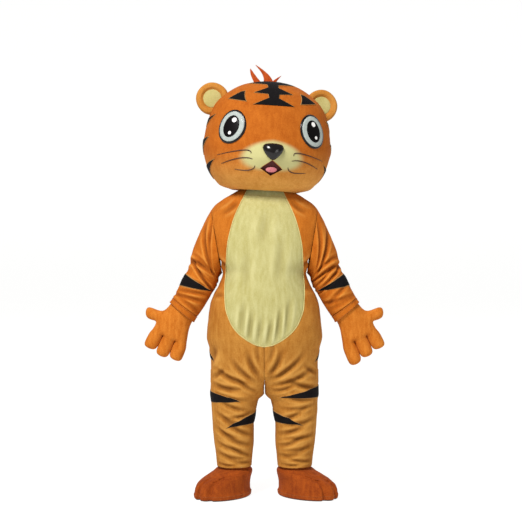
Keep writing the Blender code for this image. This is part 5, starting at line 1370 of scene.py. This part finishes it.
tree.links.new(pupil_colour, tree.nodes["Principled BSDF"].inputs["Base Color"])
for side, word in SIDES:
    lean = -EYE_LEAN * side
    head_patch("eye_rim_plastic_" + word, side * EYE_TURN, EYE_HEIGHT, oval(0.066, 0.076), 0.0046,
               eye_black, "gloss_black", "eye_rim_" + word, lean=lean, edge=0.0030)
    head_patch("eye_disc_" + word, side * EYE_TURN, EYE_HEIGHT, oval(0.0575, 0.0675), 0.0020,
               eye_grey, "eye_white", "eye_white_" + word, lean=lean, edge=0.0012, lift=0.0048)
    head_patch("pupil_" + word, side * EYE_TURN, EYE_HEIGHT, oval(0.037, 0.0495), 0.0022,
               pupil_black, "gloss_black", "eye_pupil_" + word, lean=lean, edge=0.0004, lift=0.0062)

# The nose: a moulded gloss black triangle with rounded corners, point down, domed.
nose_black = moulded("gloss_black_nose_abs", "#120c0d", "#070505", 0.22, 0.35, 0.03)
NOSE_HEIGHT = 0.1655
NOSE_CORNERS = ((0.053, 0.013), (0.044, 0.030), (0.0, 0.035), (-0.044, 0.030),
                (-0.053, 0.013), (-0.040, -0.011), (-0.014, -0.032), (0.0, -0.037),
                (0.014, -0.032), (0.040, -0.011))


def rounded(corners, each):
    """A soft outline through corners: each point is moved towards its neighbours' mean, twice."""
    line = spread(corners, each)
    for _ in range(each):
        line = (np.roll(line, 1, 0) + 2 * line + np.roll(line, -1, 0)) / 4
    return line


head_patch("nose_plastic", 0, NOSE_HEIGHT, rounded(NOSE_CORNERS, 8), 0.026, nose_black,
           "gloss_black", "nose", rings=20, edge=0.003)

# The marks: black plush cut-outs sewn flat on the head, with a thin singed pale edge.
BROW_CORNERS = ((-0.050, -0.008), (-0.004, 0.034), (0.018, 0.036), (0.044, -0.038))
CHEEK_MARKS = table(
    ("mark", "turn", "height", "length", "low_end", "high_end", "tip_rise"),
    (0, 77, 0.306, 0.095, -0.034, 0.002, 0.020),
    (1, 83, 0.200, 0.122, -0.052, 0.012, 0.026),
    (2, 77, 0.090, 0.138, -0.052, 0.006, 0.042),
)
LAID_ON = 0.002
MARK_RIM = 0.0016
for side, word in SIDES:
    brow = [(side * -a, b) for a, b in BROW_CORNERS]
    head_patch("brow_plush_" + word, side * 42, 0.404, spread(brow, 12), LAID_ON, black_plush,
               "black_plush", "brow_mark_" + word, lean=8 * side, rim=MARK_RIM)
    for i, mark in enumerate(rows_of(CHEEK_MARKS), 1):
        back = side * mark["length"] / 2
        corners = ((back, mark["low_end"]), (back, mark["high_end"]), (-back, mark["tip_rise"]))
        head_patch("cheek_plush_%s_%d" % (word, i), side * mark["turn"], mark["height"],
                   spread(corners, 16), LAID_ON, black_plush, "black_plush",
                   "cheek_mark_%s_%d" % (word, i), rim=MARK_RIM)

FOREHEAD = table(
    ("height", "half_width"),
    (0.4860, 0.026), (0.4790, 0.070), (0.4700, 0.104), (0.4660, 0.026), (0.4520, 0.023),
    (0.4240, 0.088), (0.4190, 0.025), (0.4020, 0.023), (0.3690, 0.092),
)
rows = np.linspace(0.4860, 0.3690, 110)
half = np.interp(-rows, -FOREHEAD["height"], FOREHEAD["half_width"])[:, None]
over = np.linspace(-1, 1, 41)[None, :]
widest = along(HEAD, "half_width", rows[:, None])
turns = np.arcsin(np.clip(np.abs(half * over) / widest, 0, 1) ** (HEAD_ROUNDNESS / 2)) * np.sign(over)
levels = rows[:, None] + 0 * turns
seat = head_point(turns, levels)
lifted = head_normal(turns, levels)
cloth("forehead_plush", on_neck(seat + lifted * 0.0026), LAID_ON, black_plush, "black_plush",
      "forehead_mark", inner=on_neck(seat + lifted * 0.0002),
      marks={"rim": np.clip((half * (np.abs(over) - 1) + MARK_RIM) / MARK_RIM, 0, 1) + 0 * turns})

# The whiskers: three short dark brown lines on each cheek, embroidered in satin stitch.
WHISKERS = (
    ((0.094, 0.152), (0.122, 0.166), (0.232, 0.143)),
    ((0.086, 0.130), (0.140, 0.131), (0.212, 0.106)),
    ((0.072, 0.102), (0.094, 0.082), (0.156, 0.084)),
)
whisker_thread = mottled("brown_satin_stitch", "#2c140a", "#482312", 0.003, 0.6)
for side, word in SIDES:
    for row, ends in enumerate(WHISKERS, 1):
        share = np.linspace(0, 1, 40)
        first, middle, last = np.array(ends)
        line = ((1 - share) ** 2)[:, None] * first + (2 * share * (1 - share))[:, None] * (
            2 * middle - (first + last) / 2) + (share ** 2)[:, None] * last
        widest = along(HEAD, "half_width", line[:, 1])
        turns = side * np.arcsin((line[:, 0] / widest) ** (HEAD_ROUNDNESS / 2))
        path = on_neck(head_point(turns, line[:, 1]) + head_normal(turns, line[:, 1]) * 0.0006)
        tube("whisker_%s_%d" % (word, row), path, 0.0024 * np.sin(math.pi * (0.06 + 0.88 * share)) ** 0.5,
             whisker_thread, "black_plush")

# The mouth: dark maroon knit glued behind the hole, which the wearer sees through, with
# a soft pink felt tongue low in it.
LINING_SET = HEAD_WALL + 0.0006
KNIT_LOOP = 0.003
mouth_knit, tree, shader, place = surface("maroon_knit", 0.9)
loops = node(tree, "ShaderNodeTexWave", {"wave_type": "BANDS", "bands_direction": "X"}, Vector=place,
             Scale=1 / KNIT_LOOP / 6.28, Distortion=1.5)
tone = node(tree, "ShaderNodeMix", {"data_type": "RGBA"}, _0=loops.outputs["Fac"],
            _6=linear("#3a1414"), _7=linear("#5c2420"))
bump = node(tree, "ShaderNodeBump", Height=loops.outputs["Fac"], Strength=0.4, Distance=0.0008)
tree.links.new(tone.outputs[2], shader.inputs["Base Color"])
tree.links.new(bump.outputs["Normal"], shader.inputs["Normal"])
lining_height = MOUTH_HEIGHT + np.linspace(-0.052, 0.052, 24)[:, None]
lining_turn = np.radians(np.linspace(-15, 15, 32))[None, :]
lining_seat = head_point(lining_turn, lining_height)
lining_normal = head_normal(lining_turn, lining_height)
lining_outer = on_neck(lining_seat - lining_normal * LINING_SET)
lining = cloth("mouth_knit", lining_outer, LAID_ON, mouth_knit, "mouth_cloth", "mouth_lining",
               inner=on_neck(lining_seat - lining_normal * (LINING_SET + LAID_ON)))
declare(lining_outer)

TONGUE = (0.0245, 0.0050, 0.0140)
tongue_felt = plush("pink_felt", "#de8c90", "#c46a72", streak=0.2)
around = circle(48)[None, :]
upward = np.linspace(-math.pi / 2, math.pi / 2, 25)[:, None]
groove = 1 - 0.25 * np.exp(-(np.cos(around) * np.cos(upward) / 0.16) ** 2) * (np.sin(around) < 0)
ball = np.stack([np.cos(around) * np.cos(upward), np.sin(around) * np.cos(upward) * groove,
                 np.sin(upward) + 0 * around], -1) * TONGUE
TONGUE_DROP = 0.012
seat = head_point(np.array([0.0]), np.array([MOUTH_HEIGHT - TONGUE_DROP]))
facing = head_normal(np.array([0.0]), np.array([MOUTH_HEIGHT - TONGUE_DROP]))
lean = math.atan2(facing[0, 2], -facing[0, 1])
tipped = np.array(Matrix.Rotation(-lean, 3, "X"))
middle = seat[0] - facing[0] * (HEAD_WALL - TONGUE[1] - SEAM_GAP)
tongue_points = on_neck(ball @ tipped.T + middle)
mesh = piece_mesh("tongue_felt", tongue_points.reshape(-1, 3), ring_faces(tongue_points))
finish_piece("tongue_felt", mesh, tongue_felt, "tongue_cloth", "tongue")

# The ears: stuffed rings of orange plush, turned in section, with a flat cream disc set
# into each. They stand on the side seams and are sewn down along the head.
EAR_PLACE = {-1: (-0.257, 0.004, 0.400), 1: (0.236, 0.004, 0.400)}
EAR_LEAN = math.radians(-6)
EAR_PROFILE = ((0.000, 0.0060), (0.030, 0.0060), (0.0405, 0.0062), (0.0460, 0.0110), (0.0530, 0.0165),
               (0.0630, 0.0175), (0.0700, 0.0130), (0.0735, 0.0030), (0.0725, -0.0080),
               (0.0660, -0.0160), (0.0540, -0.0205), (0.0300, -0.0240), (0.0000, -0.0250))
INNER_EAR = ((0.0000, 0.0105), (0.0250, 0.0100), (0.0350, 0.0092), (0.0400, 0.0080), (0.0412, 0.0066),
             (0.0300, 0.0064), (0.0000, 0.0064))
ear_plush = plush("orange_ear_plush", "#bd8038", "#a86a24")
ear_cream = plush("cream_ear_plush", "#b6ab70", "#a39657", streak=0.3)


def turned_ear(name, profile, side, finish, slot, node_name, wobble):
    """A profile turned round the ear's axis, smoothed along it, and set on the head.

    Points that would lie deep in the head are carried out to just under its skin.
    """
    profile = np.array(profile)
    at = np.linspace(0, len(profile) - 1, (len(profile) - 1) * 5 + 1)
    knots = {"at": np.arange(len(profile), dtype=float), "r": profile[:, 0], "ahead": profile[:, 1]}
    r = along(knots, "r", at, "at")[:, None]
    ahead = along(knots, "ahead", at, "at")[:, None]
    angle = circle(20 * FINE)[None, :]
    ripple = 1 + wobble * np.sin(5 * angle + side)
    points = np.stack([r * np.cos(angle) * ripple, -ahead + 0 * angle, r * np.sin(angle) * ripple], -1)
    turn = Matrix.Rotation(math.radians(6 * side), 3, "Z") @ Matrix.Rotation(EAR_LEAN, 3, "X")
    points = points @ np.array(turn).T + np.array(EAR_PLACE[side])
    turns = np.arctan2(points[..., 0], -points[..., 1])
    skin = head_point(turns, np.clip(points[..., 2], 0, HEAD_TOP - 0.002))
    radius = np.linalg.norm(points[..., :2], axis=-1)
    least = np.linalg.norm(skin[..., :2], axis=-1) - 0.006
    points[..., :2] *= np.maximum(least / np.maximum(radius, 1e-6), 1)[..., None]
    return ring_solid(name, on_neck(points), finish, slot, node_name)


for side, word in SIDES:
    turned_ear("ear_plush_" + word, EAR_PROFILE, side, ear_plush, "orange_plush",
                         "ear_" + word, 0.006)
    turned_ear("ear_disc_" + word, INNER_EAR, side, ear_cream, "cream_plush", "ear_inside_" + word, 0.004)

# The tuft: three flat curved spikes of longer, orange-red plush standing on the crown.
TUFT = table(
    ("spike", "base_x", "tip_x", "tip_height", "bow", "half_width", "half_thick", "y"),
    (0, -0.049, -0.096, 0.545, -0.008, 0.0190, 0.0060, -0.010),
    (1, -0.013, -0.073, 0.566, 0.018, 0.0240, 0.0070, 0.008),
    (2, 0.011, 0.050, 0.526, -0.006, 0.0150, 0.0055, 0.026),
)
TUFT_FOOT = 0.470
tuft_plush = plush("orange_red_long_pile", "#b5501c", "#963a10", streak=0.9)
for i, spike in enumerate(rows_of(TUFT), 1):
    share = np.linspace(0, 1, 40)[:, None]
    angle = circle(48)[None, :]
    middle_x = spike["base_x"] + (spike["tip_x"] - spike["base_x"]) * share ** 1.3
    middle_x = middle_x + spike["bow"] * np.sin(math.pi * share)
    level = TUFT_FOOT + (spike["tip_height"] - TUFT_FOOT) * share
    size = np.clip(1 - share, 0, 1) ** 0.7
    lock = 1 + 0.10 * np.sin(9 * angle + 5 * share + spike["spike"])
    points = np.stack([middle_x + spike["half_width"] * size * lock * np.cos(angle),
                       spike["y"] + spike["half_thick"] * size * lock * np.sin(angle),
                       level + 0 * angle], -1)
    ring_solid("tuft_plush_%d" % i, on_neck(points), tuft_plush, "tuft_plush", "tuft_spike_%d" % i,
               ends=48)

# The stripes: tapered bands of black plush laid on the legs, hips and arms and zigzagged
# down, with the same thin pale edge as the marks on the head.
STRIPES = table(
    ("kind", "side", "first", "last", "height", "half_height", "end_drop"),
    (0, -1, 2.1, 7.9, 0.451, 0.027, 0.020),
    (0, 1, 1.7, 8.1, 0.472, 0.028, 0.022),
    (1, -1, 8.8, 15.0, 0.356, 0.029, 0.043),
    (1, 1, 8.8, 15.0, 0.361, 0.028, 0.037),
    (2, -1, 3.6, 7.4, 0.642, 0.021, 0.040),
    (2, 1, 3.6, 7.4, 0.642, 0.021, 0.040),
)
STRIPE_WORDS = ("thigh", "inner_leg", "hip")
STRIPE_LIFT = 0.0004


def on_grid(grid, row, column):
    """Places between the points of a ring of cloth: the mean of four, weighted by nearness."""
    rows, columns = grid.shape[:2]
    r = np.clip(np.floor(row), 0, rows - 2).astype(int)
    c = np.floor(column).astype(int)
    u = (row - r)[..., None]
    v = (column - c)[..., None]
    c = c % columns
    d = (c + 1) % columns
    upper = grid[r, c] * (1 - v) + grid[r, d] * v
    return upper * (1 - u) + (grid[r + 1, c] * (1 - v) + grid[r + 1, d] * v) * u


def laid_stripe(name, grid, middle, columns, rows, half_rows, node_name):
    """A tapered band on a grid of cloth, raised 2 mm, with its pale rim by its width."""
    over = np.linspace(-1, 1, 13)[None, :]
    row = rows[:, None] + half_rows[:, None] * over
    column = columns[:, None] + 0 * over
    seat = on_grid(grid, row, column)
    normal = unit(np.cross(np.gradient(seat, axis=0), np.gradient(seat, axis=1)))
    normal = normal * np.sign(np.sum(normal * (seat - middle(seat)), -1, keepdims=True))
    half_size = np.linalg.norm(seat[:, -1] - seat[:, 0], axis=-1)[:, None] / 2
    rim = np.clip((half_size * (np.abs(over) - 1) + MARK_RIM) / MARK_RIM, 0, 1)
    bulge = LAID_ON * (0.35 + 0.65 * np.sqrt(1 - over ** 2 * 0.999))[..., None]
    cloth(name, seat + normal * (STRIPE_LIFT + bulge), LAID_ON, black_plush, "black_plush", node_name,
          inner=seat - normal * 0.0004, marks={"rim": rim})


def leg_middle(points):
    """The middle line of the leg that a stripe is on."""
    middle = points.copy()
    middle[..., 0] = np.sign(points[..., 0].mean()) * ANKLE_X
    middle[..., 1] = 0
    return middle


for stripe in rows_of(STRIPES):
    side = int(stripe["side"])
    ring = np.concatenate([fronts[side], backs[side][:, 1:]], 1)
    columns = np.linspace(stripe["first"], stripe["last"], 90)
    share = (columns - columns[0]) / (columns[-1] - columns[0]) * 2 - 1
    height = stripe["height"] - stripe["end_drop"] * share ** 2
    half = np.maximum(stripe["half_height"] * (1 - np.abs(share) ** 1.7), 0.0008)
    place = np.interp(-np.stack([height + half, height, height - half]), -ROW_HEIGHTS,
                      np.arange(len(ROW_HEIGHTS)))
    word = "left" if side < 0 else "right"
    kind = STRIPE_WORDS[int(stripe["kind"])]
    fine = np.interp(columns, [0, 11, 12, 23], [0, 11 * FINE, 11 * FINE + 1, 22 * FINE + 1])
    laid_stripe("%s_stripe_plush_%s" % (kind, word), ring, leg_middle, fine, place[1],
                (place[2] - place[0]) / 2, "%s_stripe_%s" % (kind, word))

ARM_STRIPE = {"ring": 7.4, "half_rings": 0.85, "reach": 6, "end_drift": -0.9}
for side, word in SIDES:
    columns = np.linspace(-ARM_STRIPE["reach"], ARM_STRIPE["reach"], 90)
    share = columns / ARM_STRIPE["reach"]
    ring = ARM_STRIPE["ring"] + ARM_STRIPE["end_drift"] * share ** 2
    half = np.maximum(ARM_STRIPE["half_rings"] * (1 - np.abs(share) ** 1.8), 0.03)
    per_ring = (len(sleeves[side]) - 1) / SLEEVE_END
    centres = sleeves[side].mean(1)

    def arm_middle(points, centres=centres):
        """The sleeve's middle line at the nearest ring to each point."""
        gap = np.linalg.norm(points[..., None, :] - centres, axis=-1)
        return centres[np.argmin(gap, -1)]

    laid_stripe("arm_stripe_plush_" + word, sleeves[side], arm_middle, columns * FINE,
                ring * per_ring, half * per_ring, "arm_stripe_" + word)
